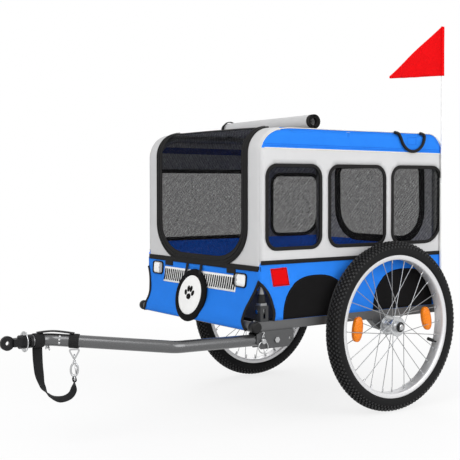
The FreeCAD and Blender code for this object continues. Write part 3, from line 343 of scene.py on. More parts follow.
def netFinish(name, colour):
    mat, tree, bsdf = newFinish(name)
    middle, fade = 0.412, 0.13  # where the holes end, and how softly
    uv = coords(tree, "UV", math.pi / 4)
    knit = mathNode(tree, "MULTIPLY", wave(tree, uv, "X", 0.0052), wave(tree, uv, "Y", 0.0090))
    look = mixOf(tree, grain(tree, uv, 0.010, 6), knit, 0.7)
    solid = span(tree, look, middle - fade, middle + fade, 0.2, 0.7)
    feed(tree, bsdf, {"Alpha": solid, "Roughness": 0.8,
                      "Base Color": tint(tree, look, colour, 0.7, 1.3), "Specular IOR Level": 0.1})
    return mat


def webbingFinish(name, colour, pitch=0.0022):
    mat, tree, bsdf = newFinish(name)
    uv = coords(tree, "UV")
    look = mixOf(tree, wave(tree, uv, "X", pitch), wave(tree, uv, "DIAGONAL", pitch), 0.6)
    bump(tree, bsdf, look, 0.0005, 0.6)
    feed(tree, bsdf, {"Base Color": tint(tree, look, colour, 0.6, 1.5), "Roughness": 0.75,
                      "Specular IOR Level": 0.2})
    return mat


def plasticFinish(name, colour, rough=0.5, size=0.0012, depth=0.00012, gloss=0.4):
    mat, tree, bsdf = newFinish(name)
    place = coords(tree, "Object")
    fine = grain(tree, place, size, 2)
    bump(tree, bsdf, fine, depth, 0.5)
    feed(tree, bsdf, {"Base Color": tint(tree, grain(tree, place, 0.02), colour, 0.8, 1.25),
                      "Roughness": span(tree, fine, rough - 0.08, rough + 0.1), "Specular IOR Level": gloss})
    return mat


def metalFinish(name, colour, rough=0.3, metallic=1.0, depth=0.00005, size=0.004):
    mat, tree, bsdf = newFinish(name)
    fine = grain(tree, coords(tree, "Object"), size, 4)
    bump(tree, bsdf, fine, depth, 0.4)
    feed(tree, bsdf, {"Base Color": tint(tree, fine, colour, 0.82, 1.1), "Metallic": metallic,
                      "Roughness": span(tree, fine, rough - 0.07, rough + 0.1)})
    return mat


def tyreFinish(name, side, dark=0.0035, light=0.011, rough=0.60, gloss=0.16):
    mat, tree, bsdf = newFinish(name)
    spot = coords(tree, "Object", centre=wheelCentre(side))
    fine = grain(tree, spot, 0.0025, 3)
    look = mixOf(tree, wave(tree, spot, "Y", 0.0042, "rings"), fine, 0.35)
    bump(tree, bsdf, look, 0.0003, 0.5)
    feed(tree, bsdf, {"Base Color": tint(tree, look, (1, 1, 1.06), dark, light), "Specular IOR Level": gloss,
                      "Roughness": span(tree, fine, rough, rough + 0.25)})
    return mat


def lensFinish(name, colour):
    mat, tree, bsdf = newFinish(name)
    sockets = {"Vector": coords(tree, "Object"), "Scale": 380}
    cells = addNode(tree, "ShaderNodeTexVoronoi", sockets, distance="MANHATTAN").outputs["Distance"]
    bump(tree, bsdf, cells, 0.0006, 0.5)
    feed(tree, bsdf, {"Base Color": tint(tree, cells, colour, 1.15, 0.72), "Roughness": 0.3,
                      "Specular IOR Level": 0.25, "Coat Weight": 0.08, "Coat Roughness": 0.05})
    return mat


blueCloth = clothFinish("blueCloth", (0.020, 0.205, 0.79))
greyCloth = clothFinish("greyCloth", (0.60, 0.60, 0.605), vary=0.06)
shadeCloth = clothFinish("shadeCloth", (0.40, 0.40, 0.405), vary=0.06)
whiteCloth = clothFinish("whiteCloth", (0.92, 0.92, 0.91), vary=0.04)
blackCloth = clothFinish("blackCloth", (0.0075, 0.0072, 0.0075), vary=0.3, gloss=0.08)
redCloth = clothFinish("redCloth", (0.70, 0.002, 0.004), pitch=0.0007, gloss=0.08)
doorTape = clothFinish("doorTape", (0.024, 0.0235, 0.0235), vary=0.2, gloss=0.08)
greyLining = clothFinish("greyLining", (0.56, 0.56, 0.563), vary=0.12, gloss=0.05)
# rearLining glows: painted light on the inside face of the rear wall's grey cloth
rearLining = clothFinish("rearLining", (0.60, 0.60, 0.603), gloss=0.0, glow=(0.95, 0.95, 0.955, 0.16))
# navyLining is the blue stripe's inner face painted dark navy: painted shade under the roof
navyLining = clothFinish("navyLining", (0.002, 0.035, 0.30), gloss=0.0)
# blueLining is the blue cloth's inner face painted a brighter, more saturated blue, and it glows: painted light
blueLining = clothFinish("blueLining", (0.008, 0.18, 0.95), gloss=0.0, glow=(0.005, 0.14, 0.85, 0.20))
creamPiping = webbingFinish("creamPiping", (0.78, 0.70, 0.60), 0.0016)
bindTape = webbingFinish("bindTape", (0.0085, 0.008, 0.008), 0.0018)
blackWebbing = webbingFinish("blackWebbing", (0.010, 0.010, 0.0105))
blackNet = netFinish("blackNet", (0.007, 0.007, 0.0073))
blackThread = plasticFinish("blackThread", (0.016, 0.016, 0.016), 0.7, gloss=0.2)
blueThread = plasticFinish("blueThread", (0.008, 0.11, 0.55), 0.7, gloss=0.2)
greyThread = plasticFinish("greyThread", (0.52, 0.52, 0.52), 0.7, gloss=0.2)
blackPlastic = plasticFinish("blackPlastic", (0.009, 0.009, 0.0095), 0.42, gloss=0.2)
floorPanel = plasticFinish("floorPanel", (0.014, 0.015, 0.018), 0.8, 0.0016, 0.0003, gloss=0.2)
whitePole = plasticFinish("whitePole", (0.82, 0.82, 0.81), 0.28, 0.003, 0.00005)
framePaint = metalFinish("framePaint", (0.105, 0.106, 0.108), 0.42, 0.35, 0.00008, 0.0015)
drawbarPaint = metalFinish("drawbarPaint", (0.135, 0.136, 0.139), 0.24, 0.80, 0.00006, 0.0012)
bracketPaint = metalFinish("bracketPaint", (0.080, 0.081, 0.083), 0.46, 0.4, 0.00008, 0.0015)
knuckleSteel = metalFinish("knuckleSteel", (0.045, 0.046, 0.048), 0.40, 0.6, size=0.005)
frameTube = metalFinish("frameTube", (0.30, 0.305, 0.31), 0.36, 0.85, size=0.002)
alloy = metalFinish("alloy", (0.55, 0.56, 0.57), 0.30, 0.9, size=0.003)
rimAlloy = metalFinish("rimAlloy", (0.70, 0.70, 0.71), 0.42, 0.55, size=0.003)
spokeSteel = metalFinish("spokeSteel", (0.36, 0.365, 0.37), 0.28)
brightSteel = metalFinish("brightSteel", (0.50, 0.505, 0.51), 0.12)
orangeLens = lensFinish("orangeLens", (1.0, 0.235, 0.0))
tyreRubber = {side: tyreFinish("tyreRubber" + word.title(), side) for side, word in hands}
# knobs are the tyre's own rubber with lower roughness and more specular, and painted a little lighter than the carcass:
# that lighter colour is a painted highlight
knobRubber = {side: tyreFinish("knobRubber" + word.title(), side, 0.005, 0.015, 0.38, 0.36)
              for side, word in hands}
print("finishes made")


# mesh helpers

def addMesh(name, verts, faces, finishes, uvs=None, picks=None, smooth=True):
    mesh = bpy.data.meshes.new(name)
    mesh.from_pydata([tuple(v) for v in verts], [], faces)
    for finish in finishes if isinstance(finishes, (list, tuple)) else [finishes]:
        mesh.materials.append(finish)
    if uvs:
        layer = mesh.uv_layers.new(name="UVMap")
        for loop in mesh.loops:
            layer.data[loop.index].uv = uvs[loop.vertex_index]
    if picks:
        for face, pick in zip(mesh.polygons, picks):
            face.material_index = pick
    for face in mesh.polygons:
        face.use_smooth = smooth
    mesh.update()
    obj = bpy.data.objects.new(name, mesh)
    scene.collection.objects.link(obj)
    return obj


def quads(rows, ring, loop=False, wrap=True):  # faces between rows of points
    faces = []
    for i in range(rows if loop else rows - 1):
        here, there = i * ring, (i + 1) % rows * ring
        for k in range(ring if wrap else ring - 1):
            n = (k + 1) % ring
            faces.append((here + k, here + n, there + n, there + k))
    return faces


def tubeFaces(rows, ring, closed=False):
    ends = [tuple(range(ring))[::-1], tuple(range((rows - 1) * ring, rows * ring))]
    return quads(rows, ring, closed) + ([] if closed else ends)


def walk(points, closed):  # each point with the way ahead and the length so far
    walked = 0.0
    for i, p in enumerate(points):
        before = points[i - 1] if closed or i else p
        after = points[(i + 1) % len(points)] if closed or i < len(points) - 1 else p
        if i:
            walked += (p - points[i - 1]).length
        yield p, (after - before).normalized(), walked


def outward(obj, merge=False):
    work = bmesh.new()
    work.from_mesh(obj.data)
    if merge:
        bmesh.ops.remove_doubles(work, verts=work.verts, dist=1e-6)
    bmesh.ops.recalc_face_normals(work, faces=work.faces)
    work.to_mesh(obj.data)
    work.free()
    return obj


def settle(obj):  # live modifiers become plain mesh
    bpy.context.view_layer.update()
    ready = obj.evaluated_get(bpy.context.evaluated_depsgraph_get())
    mesh = bpy.data.meshes.new_from_object(ready)
    obj.modifiers.clear()
    obj.data = mesh
    return obj


def thicken(obj, thick, lining=0):
    wall = obj.modifiers.new("wall", "SOLIDIFY")
    wall.thickness = thick
    wall.material_offset = lining
    wall.offset = -1
    wall.use_even_offset = False
    return settle(obj)


def joined(name, parts):
    for part in parts:
        part.select_set(True)
    bpy.context.view_layer.objects.active = parts[0]
    with bpy.context.temp_override(active_object=parts[0], selected_objects=parts,
                                   selected_editable_objects=parts):
        bpy.ops.object.join()
    parts[0].name = name
    parts[0].data.name = name
    return parts[0]


def discard(obj):
    bpy.data.objects.remove(obj)


def rides(obj, body, slotName):
    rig.ride(obj, body)
    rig.slot(obj, slotName)
    return obj


def softWith(obj, body, joint, anchorZ, keep, slotName):
    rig.ride(obj, body)
    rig.squash(obj, joint, axis=(0, 0, 1), anchor=(0, 0, anchorZ), keep=keep)
    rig.slot(obj, slotName)
    return obj


def cabinSoft(obj, slotName, body="chassis"):
    joint = "right_frame_fold" if obj.name.startswith("right") else "left_frame_fold"
    return softWith(obj, body, joint, sillZ, 0.28, slotName)


# flat outlines

def rounded(points, closed=True, steps=7):  # points are (u, v, radius)
    out = []
    count = len(points)
    for i, (u, v, radius) in enumerate(points):
        here = Vector((u, v))
        if radius == 0 or (not closed and i in (0, count - 1)):
            out.append(here)
            continue
        back = (Vector(points[i - 1][:2]) - here).normalized()
        ahead = (Vector(points[(i + 1) % count][:2]) - here).normalized()
        half = back.angle(ahead) / 2
        reach = radius / math.tan(half)
        middle = here + (back + ahead).normalized() * (radius / math.sin(half))
        start, end = here + back * reach - middle, here + ahead * reach - middle
        bent = start.angle(end) > 1e-4
        for k in range(steps + 1):
            way = start.slerp(end, k / steps) if bent else start.lerp(end, k / steps)
            out.append(middle + way.normalized() * radius)
    return out


def box2d(u0, u1, v0, v1, radius):
    return rounded([(u0, v0, radius), (u1, v0, radius), (u1, v1, radius), (u0, v1, radius)])


def resample(path, gap, closed=True):
    out = []
    for a, b in zip(path, path[1:] + path[:1] if closed else path[1:]):
        count = max(1, math.ceil((b - a).length / gap))
        out += [a.lerp(b, k / count) for k in range(count)]
    return out if closed else out + [path[-1]]


def inside(point, loop):
    u, v = point
    hit = False
    for a, b in zip(loop, loop[1:] + loop[:1]):
        if (a.y > v) != (b.y > v) and u < (b.x - a.x) * (v - a.y) / (b.y - a.y) + a.x:
            hit = not hit
    return hit


def offset(surface, lift, flip=False):  # the same surface, moved along its normal
    def moved(u, v):
        spot, normal = surface(u, v)
        return spot + normal * lift, -normal if flip else normal
    return moved


# a sheet of cloth cut to an outline with holes and laid on a surface
def makeSheet(name, surface, outline, finishes, holes=(), seams=(), gap=0.012, thick=0.0014, pick=None,
              linings=()):
    loops = [resample(loop, gap) for loop in [outline, *holes]]
    points, edges = [], []
    inner = [(resample(seam, gap, False), False) for seam in seams]
    for line, closed in [(loop, True) for loop in loops] + inner:
        first, last = len(points), len(points) + len(line) - 1
        points += line
        edges += [(i, i + 1) for i in range(first, last)] + ([(last, first)] if closed else [])
    near = KDTree(len(points))
    for i, p in enumerate(points):
        near.insert((p.x, p.y, 0), i)
    near.balance()
    lowU, highU = min(p.x for p in loops[0]), max(p.x for p in loops[0])
    lowV, highV = min(p.y for p in loops[0]), max(p.y for p in loops[0])

    def onCloth(p):
        return inside(p, loops[0]) and not any(inside(p, hole) for hole in loops[1:])
    for row in range(int((highV - lowV) / gap) + 1):
        for column in range(int((highU - lowU) / gap) + 1):
            p = Vector((lowU + (column + 0.5 * (row % 2)) * gap, lowV + row * gap))
            if near.find((p.x, p.y, 0))[2] > gap * 0.55 and onCloth(p):
                points.append(p)
    cut, _, faces = delaunay_2d_cdt(points, edges, [], 0, 1e-6)[:3]
    kept, picks = [], []
    for face in faces:
        middle = sum((cut[i] for i in face), Vector((0, 0))) / len(face)
        if onCloth(middle):
            kept.append(list(face))
            picks.append(pick(middle) if pick else 0)
    verts = [surface(p.x, p.y) for p in cut]
    a, b, c = (verts[i][0] for i in kept[0][:3])
    if (b - a).cross(c - a).dot(verts[kept[0][0]][1]) < 0:
        kept = [face[::-1] for face in kept]
    finishes = finishes if isinstance(finishes, list) else [finishes]
    sheet = addMesh(name, [v[0] for v in verts], kept, finishes + list(linings), cut, picks)
    area = sum(face.area for face in sheet.data.polygons)
    thicken(sheet, thick, len(linings))
    return sheet, (highU - lowU, highV - lowV), area


def declareSheet(made, held, rests):
    sheet, size, area = made
    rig.sheet(sheet, flat=size, held=held, rests_on=rests, area=min(area, size[0] * size[1]))
    return sheet


def layCloth(name, surface, outline, finishes, slotName, held, rests, stands=None, body="chassis", **cut):
    made = makeSheet(name, surface, outline, finishes, **cut)
    cabinSoft(made[0], slotName, body)
    if stands:
        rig.replaces(made[0], stands)
    return declareSheet(made, held, rests)


# a tape with a rounded back that follows a path on a surface
tapeSection = [(-0.5, 0.0), (-0.46, 0.7), (-0.3, 1.0), (0.0, 0.9), (0.3, 1.0), (0.46, 0.7), (0.5, 0.0),
               (0.0, -0.35)]


def makeTape(name, surface, path, width, thick, finish, closed=False):
    path = resample(path, 0.006, closed)
    verts, uvs = [], []
    for p, along, walked in walk(path, closed):
        across = Vector((-along.y, along.x))
        for shareU, shareV in tapeSection:
            q = p + across * (width * shareU)
            spot, normal = surface(q.x, q.y)
            verts.append(spot + normal * (thick * shareV))
            uvs.append((walked, width * shareU))
    return outward(addMesh(name, verts, tubeFaces(len(path), len(tapeSection), closed), finish, uvs))


# a round or flat bar along points in space; section is a list of (side, up)
def makeBar(name, points, section, finish, closed=False, up=zWay, taper=1.0):
    verts, uvs = [], []
    for i, (p, along, walked) in enumerate(walk(points, closed)):
        aside = along.cross(up).normalized()
        above = aside.cross(along)
        grow = taper if i in (0, len(points) - 1) else 1.0
        for a, b in section:
            verts.append(p + aside * a * grow + above * b * grow)
            uvs.append((walked, a + b))
    return outward(addMesh(name, verts, tubeFaces(len(points), len(section), closed), finish, uvs))


def nurbsLine(route):  # points read from a smooth spline on the route
    data = bpy.data.curves.new("route", "CURVE")
    data.dimensions = "3D"
    spline = data.splines.new("NURBS")
    spline.points.add(len(route) - 1)
    for point, spot in zip(spline.points, route):
        point.co = (*spot, 1)
    spline.order_u = 3
    spline.use_endpoint_u = True
    spline.resolution_u = 14  # points to a span
    carrier = bpy.data.objects.new("route", data)
    scene.collection.objects.link(carrier)
    bpy.context.view_layer.update()
    traced = bpy.data.meshes.new_from_object(carrier.evaluated_get(bpy.context.evaluated_depsgraph_get()))
    discard(carrier)
    return [v.co.copy() for v in traced.vertices]


def circleSection(radius, sides=10):
    return [(radius * math.cos(a), radius * math.sin(a)) for a in turns(sides)]


def flatSection(width, thick):
    w, t = width / 2, thick / 2
    return [(-w, -t * 0.6), (-w, t * 0.6), (-w * 0.93, t), (w * 0.93, t),
            (w, t * 0.6), (w, -t * 0.6), (w * 0.93, -t), (-w * 0.93, -t)]


def square3d(axis):  # an axis and two directions at right angles to it
    axis = Vector(axis).normalized()
    aside = axis.orthogonal().normalized()
    return axis, aside, axis.cross(aside)


# a turned piece: profile of (radius, along) about an axis through a spot
def makeTurned(name, profile, spot, axis, finish, sides=40, closed=False):
    axis, aside, above = square3d(axis)
    verts = []
    for a in turns(sides):
        way = aside * math.cos(a) + above * math.sin(a)
        verts += [Vector(spot) + way * r + axis * z for r, z in profile]
    return outward(addMesh(name, verts, quads(sides, len(profile), True, closed), finish), merge=True)


# node trees for what repeats

def newTree(name, inputs):
    tree = bpy.data.node_groups.new(name, "GeometryNodeTree")
    for label, kind in [("Geometry", "Geometry"), ("Piece", "Object"), ("Finish", "Material")] + inputs:
        tree.interface.new_socket(label, in_out="INPUT", socket_type="NodeSocket" + kind)
    tree.interface.new_socket("Geometry", in_out="OUTPUT", socket_type="NodeSocketGeometry")
    return tree, tree.nodes.new("NodeGroupInput").outputs


def endTree(tree, given, points, rotation):
    info = addNode(tree, "GeometryNodeObjectInfo", {"Object": given["Piece"]}, transform_space="ORIGINAL")
    copies = addNode(tree, "GeometryNodeInstanceOnPoints",
                     {"Points": points, "Instance": info.outputs["Geometry"], "Rotation": rotation})
    real = addNode(tree, "GeometryNodeRealizeInstances", {"Geometry": copies.outputs["Instances"]})
    paint = addNode(tree, "GeometryNodeSetMaterial",
                    {"Geometry": real.outputs["Geometry"], "Material": given["Finish"]})
    addNode(tree, "NodeGroupOutput", {"Geometry": paint.outputs["Geometry"]})
    return tree


def spinTree():  # copies of one piece turned about the wheel's axle
    inputs = [("Count", "Int"), ("Step", "Float"), ("Start", "Float"), ("Centre", "Vector")]
    tree, given = newTree("spinCopies", inputs)
    points = addNode(tree, "GeometryNodePoints", {"Count": given["Count"], "Position": given["Centre"]})
    index = addNode(tree, "GeometryNodeInputIndex")
    angle = addNode(tree, "ShaderNodeMath", {0: index.outputs[0], 1: given["Step"], 2: given["Start"]},
                    operation="MULTIPLY_ADD")
    turn = addNode(tree, "ShaderNodeCombineXYZ", {"Y": angle.outputs[0]})
    euler = addNode(tree, "FunctionNodeEulerToRotation", {0: turn.outputs[0]})
    return endTree(tree, given, points.outputs[0], euler.outputs[0])


def runTree():  # copies of one piece along lines
    tree, given = newTree("runCopies", [("Spacing", "Float")])
    curve = addNode(tree, "GeometryNodeMeshToCurve", {"Mesh": given["Geometry"]})
    points = addNode(tree, "GeometryNodeCurveToPoints",
                     {"Curve": curve.outputs["Curve"], "Length": given["Spacing"]}, mode="LENGTH")
    return endTree(tree, given, points.outputs["Points"], points.outputs["Rotation"])


spinCopies = spinTree()
runCopies = runTree()


def repeat(name, base, tree, values):
    modifier = base.modifiers.new("repeat", "NODES")
    modifier.node_group = tree
    for item in tree.interface.items_tree:
        if item.item_type == "SOCKET" and item.in_out == "INPUT" and item.name in values:
            modifier[item.identifier] = values[item.name]
    settle(base)
    base.name = name
    base.data.name = name
    for face in base.data.polygons:
        face.use_smooth = True
    return base


def spun(name, piece, count, step, start, centre, finish):
    base = addMesh(name, [centre], [], finish)
    values = {"Piece": piece, "Count": count, "Step": step, "Start": start, "Centre": centre,
              "Finish": finish}
    return repeat(name, base, spinCopies, values)


def alongLines(name, lines, piece, spacing, finish):
    verts, edges = [], []
    for line in lines:
        first = len(verts)
        verts += [tuple(p) for p in line]
        edges += [(first + i, first + i + 1) for i in range(len(line) - 1)]
    mesh = bpy.data.meshes.new(name)
    mesh.from_pydata(verts, edges, [])
    base = bpy.data.objects.new(name, mesh)
    scene.collection.objects.link(base)
    return repeat(name, base, runCopies, {"Piece": piece, "Spacing": spacing, "Finish": finish})


thread = {"length": 0.0034, "radius": 0.00055, "spacing": 0.0048, "lift": 0.0005}
stitchPiece = makeBar("stitchPiece", [Vector((0, 0, z * thread["length"])) for z in (-0.5, -0.3, 0.3, 0.5)],
                      circleSection(thread["radius"], 5), blackThread, up=xWay, taper=0.4)
sewn = {}


def sew(group, surface, path, asides, lift=thread["lift"], closed=False):
    for aside in asides:
        line = []
        for p, along, _ in walk(resample(path, 0.01, closed), closed):
            q = p + Vector((-along.y, along.x)) * aside
            spot, normal = surface(q.x, q.y)
            line.append(spot + normal * lift)
        sewn.setdefault(group, []).append(line + line[:1] if closed else line)


# the cabin's surfaces

cabin = {"round": 0.072, "rearRound": 0.064, "corner": 0.008, "seam": 0.453, "frontSeam": 0.435,
         "hem": 0.008, "stripeFront": 0.765, "stripeRear": 0.760, "stripeLined": 0.020, "postSide": 0.003,
         "ripple": 0.0007, "crown": 0.005, "puff": 0.0035, "wallPuff": 0.0012, "rearPuff": 0.007,
         "doorHalf": 0.236, "doorRound": 0.11, "doorWide": 0.15}
binding = {"seam": 0.012, "edge": 0.009, "thick": 0.0026, "sewnIn": 0.0045, "back": 0.0012,
           "backSink": 0.0030}
net = {"thick": 0.0005, "sink": 0.0016, "sag": 0.004, "gap": 0.02}
bothFrames = ["left_side_frame", "right_side_frame"]
arcLong = math.pi / 2 * cabin["round"]
rearArc = math.pi / 2 * cabin["rearRound"]
frontRise = roofZ - cabin["round"] - cabin["frontSeam"]
roofLong = frontX - rearX - cabin["round"] - cabin["rearRound"]
rearRise = roofZ - cabin["rearRound"] - sillZ
roofFrom = frontRise + arcLong
roofTo = roofFrom + roofLong
rearFrom = roofTo + rearArc
shellEnd = rearFrom + rearRise + cabin["hem"]
cornerFlat = halfY - cabin["corner"]  # where the shell starts to turn onto the side


def profile(s):  # front seam, up, over the roof and down the rear: place and outward way in XZ
    r = cabin["round"]
    if s <= frontRise:
        return (frontX, cabin["frontSeam"] + s), (1.0, 0.0)
    if s <= roofFrom:
        a = (s - frontRise) / r
        return (frontX - r + r * math.cos(a), roofZ - r + r * math.sin(a)), (math.cos(a), math.sin(a))
    if s <= roofTo:
        return (frontX - r - (s - roofFrom), roofZ), (0.0, 1.0)
    r = cabin["rearRound"]
    if s <= rearFrom:
        a = (s - roofTo) / r
        return (rearX + r - r * math.sin(a), roofZ - r + r * math.cos(a)), (-math.sin(a), math.cos(a))
    return (rearX, roofZ - r - (s - rearFrom)), (-1.0, 0.0)


def shell(t, s):
    (x, z), (nx, nz) = profile(s)
    r = cabin["corner"]
    over = abs(t) - cornerFlat
    sign = 1 if t >= 0 else -1
    if over <= 0:
        y, deep, lean = abs(t), 0.0, 0.0
    elif over <= r * math.pi / 2:
        lean = over / r
        y, deep = cornerFlat + r * math.sin(lean), r * (1 - math.cos(lean))
    else:
        lean = math.pi / 2
        y, deep = halfY, r + over - r * math.pi / 2
    normal = Vector((nx * math.cos(lean), sign * math.sin(lean), nz * math.cos(lean)))
    spot = Vector((x - nx * deep, sign * y, z - nz * deep))
    crown = cabin["crown"] * arc(clamp((s - frontRise) / (rearFrom - frontRise))) ** 0.7
    if s > rearFrom:
        crown += cabin["rearPuff"] * math.sin(math.pi * (s - rearFrom) / rearRise)
    crown *= max(0.0, 1 - (t / halfY) ** 2)
    ripple = cabin["ripple"] * noise.noise(Vector((t * 7, s * 7, 1.5)))
    return spot + normal * (crown + ripple), normal


def cornerReach(s):  # unrolled reach of the shell's cloth round onto the side
    r, deep = cabin["corner"], cabin["postSide"]
    if s > frontRise:
        deep += (r - deep) * min(1.0, (s - frontRise) / arcLong)
    return cornerFlat + r * math.pi / 2 + deep - r


def shellStrip(start, end):  # the shell's full width between two stations
    reach = cornerReach(roofTo)
    return plan((-reach, start), (reach, start), (reach, end), (-reach, end))


def doorEdge(s):
    r, wide = cabin["doorRound"], cabin["doorWide"]
    if s >= r:
        return cabin["doorHalf"]
    return cabin["doorHalf"] - wide + wide * math.sqrt(max(0.0, 1 - (1 - s / r) ** 2))


def doorPath(inset):  # down one side of the door, round its foot and up the other
    half, wide, high = cabin["doorHalf"] - inset, cabin["doorWide"] - inset, cabin["doorRound"] - inset
    quarter = [math.pi / 2 * k / 16 for k in range(17)]
    foot = [(wide - half - wide * math.cos(a), inset + high - high * math.sin(a)) for a in quarter]
    return plan((-half, roofFrom), *foot, *[(-t, s) for t, s in foot[::-1]], (half, roofFrom))


def sideSurface(sign):
    def surface(x, z):
        low = arc(clamp((z - sillZ) / (cabin["seam"] - sillZ)))
        long = arc(clamp((x - rearX) / (frontX - rearX)))
        puff = cabin["puff"] * low if z < cabin["seam"] else cabin["wallPuff"]
        ripple = cabin["ripple"] * noise.noise(Vector((x * 8, z * 8, 4.0 * sign)))
        return Vector((x, sign * (halfY + puff * long ** 0.4 + ripple), z)), Vector((0, sign, 0))
    return surface


sideOf = {sign: sideSurface(sign) for sign, _ in hands}
apron = {"slope": 0.0314, "top": 0.4345, "turn": 0.296, "low": 0.2715, "hollow": 2.3, "half": 0.2925,
         "cornerFrom": 0.266, "tuck": 0.0018, "ahead": 0.0012, "ripple": 0.0009, "edgeThick": 0.0028,
         "tear": [(0.272, 0.2715, 0), (0.259, 0.285, 0.05), (0.2525, 0.322, 0.05), (0.278, 0.374, 0.12),
                  (0.2925, 0.405, 0)]}


def apronSurface(y, z):  # laid by height: hangs hollow, then goes straight down over the front cross tube
    fall = apron["top"] - apron["turn"]
    share = clamp((apron["top"] - z) / fall)
    corner = clamp((abs(y) - apron["cornerFrom"]) / (apron["half"] - apron["cornerFrom"]))
    reach = apron["slope"] * share ** apron["hollow"] * (1 - corner ** 2)
    lean = math.atan(apron["slope"] * apron["hollow"] * share ** (apron["hollow"] - 1) / fall)
    ripple = apron["ripple"] * noise.noise(Vector((y * 9, z * 9, 9.0)))
    if z < apron["turn"]:
        reach -= apron["tuck"] * ((apron["turn"] - z) / (apron["turn"] - apron["low"])) ** 2
        lean = 0.0
    spot = Vector((frontX + reach + ripple + apron["ahead"], y, z))
    return spot, Vector((math.cos(lean), 0, math.sin(lean)))


# side walls: lower blue, grey round the windows, blue stripe under the roof

windows = {"low": 0.485, "high": 0.722, "round": 0.038, "rearRound": 0.072, "tape": 0.0105,
           "tapeThick": 0.0026, "tapeIn": 0.0045, "backIn": 0.0035, "sewnIn": 0.0036, "netTuck": 0.003,
           "seamDrop": 0.0015, "spans": [(-0.251, -0.0345), (-0.0125, 0.2135), (0.237, 0.437)],
           "rightHigh": (0.702, 0.711)}
tear = {"base": 0.0470, "belly": 0.0510, "bellyZ": 0.313, "bellyRound": 0.04, "neck": 0.0300,
        "neckZ": 0.3735, "neckRound": 0.10, "apexZ": 0.398, "rearSize": 0.45}
windowSpans = [(station(a), station(b), windows["high"]) for a, b in windows["spans"]]
sideSpans = {1: windowSpans, -1: [(*windowSpans[0][:2], windows["rightHigh"][0]),
                                  (windowSpans[1][0], windowSpans[2][1], windows["rightHigh"][1])]}


def windowLoop(a, b, high, grow):
    low, high, r = windows["low"] - grow, high + grow, windows["round"] + grow
    rear = windows["rearRound"] + grow if a < station(-0.2) else r
    a, b = a - grow, b + grow
    return rounded([(a, low, rear), (b, low, r), (b, high, r), (a, high, r)], steps=9)


def tearCurve(tipX, way):  # the corner opening's edge, from the sill up to its point
    size = 1.0 if way > 0 else tear["rearSize"]
    bends = [("base", sillZ, 0), ("belly", tear["bellyZ"], tear["bellyRound"]),
             ("neck", tear["neckZ"], tear["neckRound"])]
    points = [(tipX - way * size * tear[name], z, radius * size) for name, z, radius in bends]
    return rounded(points + [(tipX, tear["apexZ"], 0)], closed=False, steps=9)


def sideOutline():
    corner, seam = cabin["corner"], cabin["seam"] - 0.004
    edge = tearCurve(frontX, 1) + plan((frontX, seam))
    for k in range(25):
        s = min((seam - cabin["frontSeam"]) + (roofFrom - 0.018) * k / 24, roofFrom)
        (x, z), (nx, nz) = profile(s)
        deep = cornerReach(s) - (cornerFlat + corner * math.pi / 2) + corner
        edge.append(Vector((x - nx * deep, z - nz * deep)))
    for k in range(13):
        (x, z), (nx, nz) = profile(roofTo + rearArc * k / 12)
        edge.append(Vector((x - nx * corner, z - nz * corner)))
    edge += plan((rearX + corner, cabin["seam"]), (rearX + corner, tear["apexZ"]))
    return edge + tearCurve(rearX + corner, -1)[::-1][1:]


def stripeAt(x):
    share = (x - rearX) / (frontX - rearX)
    return cabin["stripeRear"] + (cabin["stripeFront"] - cabin["stripeRear"]) * share


def wallLevels(x):  # heights at which the cloth or its lining changes
    stripe = stripeAt(x)
    return cabin["seam"], windows["low"] - windows["seamDrop"], stripe, stripe + cabin["stripeLined"]


def wallPick(middle):
    return sum(middle.y >= level for level in wallLevels(middle.x))


def makeSide(sign, word):
    surface, spans, low = sideOf[sign], sideSpans[sign], windows["low"]
    layCloth(word + "SideCloth", surface, sideOutline(),
             [blueCloth, greyCloth, greyCloth, blueCloth, blueCloth], "blue_cloth", "stretched",
             [word + "_side_frame", word + "_rail"], word + "_wall", pick=wallPick,
             holes=[windowLoop(*window, 0.0) for window in spans],
             seams=[plan((rearX, a), (frontX, b)) for a, b in zip(wallLevels(rearX), wallLevels(frontX))],
             # linings by level: blueLining glows as painted light; navyLining, on the band just above the stripe's
             # lower edge, is painted shade
             linings=[blueLining, blueLining, greyLining, navyLining, greyLining])
    for i, (a, b, high) in enumerate(spans):
        def sunk(x, z, a=a, b=b, high=high):
            sag = net["sag"] * arc((x - a) / (b - a)) * arc((z - low) / (high - low))
            return offset(surface, -(net["sink"] + sag))(x, z)
        layCloth("%sNet%d" % (word, i + 1), sunk, windowLoop(a, b, high, windows["netTuck"]), blackNet,
                 "net_cloth", "stretched", [word + "_wall"], None if i else word + "_windows",
                 gap=net["gap"], thick=net["thick"])
    inner = offset(surface, -binding["backSink"], True)
    tapes = []
    for window in spans:
        edge, back = (windowLoop(*window, -windows[key]) for key in ("tapeIn", "backIn"))
        tapes += [makeTape("tape", surface, edge, windows["tape"], windows["tapeThick"], bindTape, True),
                  makeTape("tape", inner, back, windows["tape"], binding["back"], bindTape, True)]
        sew(word + "Wall", surface, edge, [windows["sewnIn"]], windows["tapeThick"], True)
    seam = plan((rearX + 0.002, cabin["seam"]), (frontX - 0.004, cabin["seam"]))
    tapes.append(makeTape("tape", surface, seam, binding["seam"], binding["thick"], bindTape))
    sew(word + "Wall", surface, seam, (-binding["sewnIn"], binding["sewnIn"]), binding["thick"])
    for tip, way in ((frontX, 1), (rearX + cabin["corner"], -1)):
        edge = tearCurve(tip, way)
        tapes.append(makeTape("tape", surface, edge, binding["edge"], binding["thick"], bindTape))
    cabinSoft(joined(word + "SideBinding", tapes), "black_webbing")


# front posts that wrap the corner, the net door between them, the roof and the rear wall

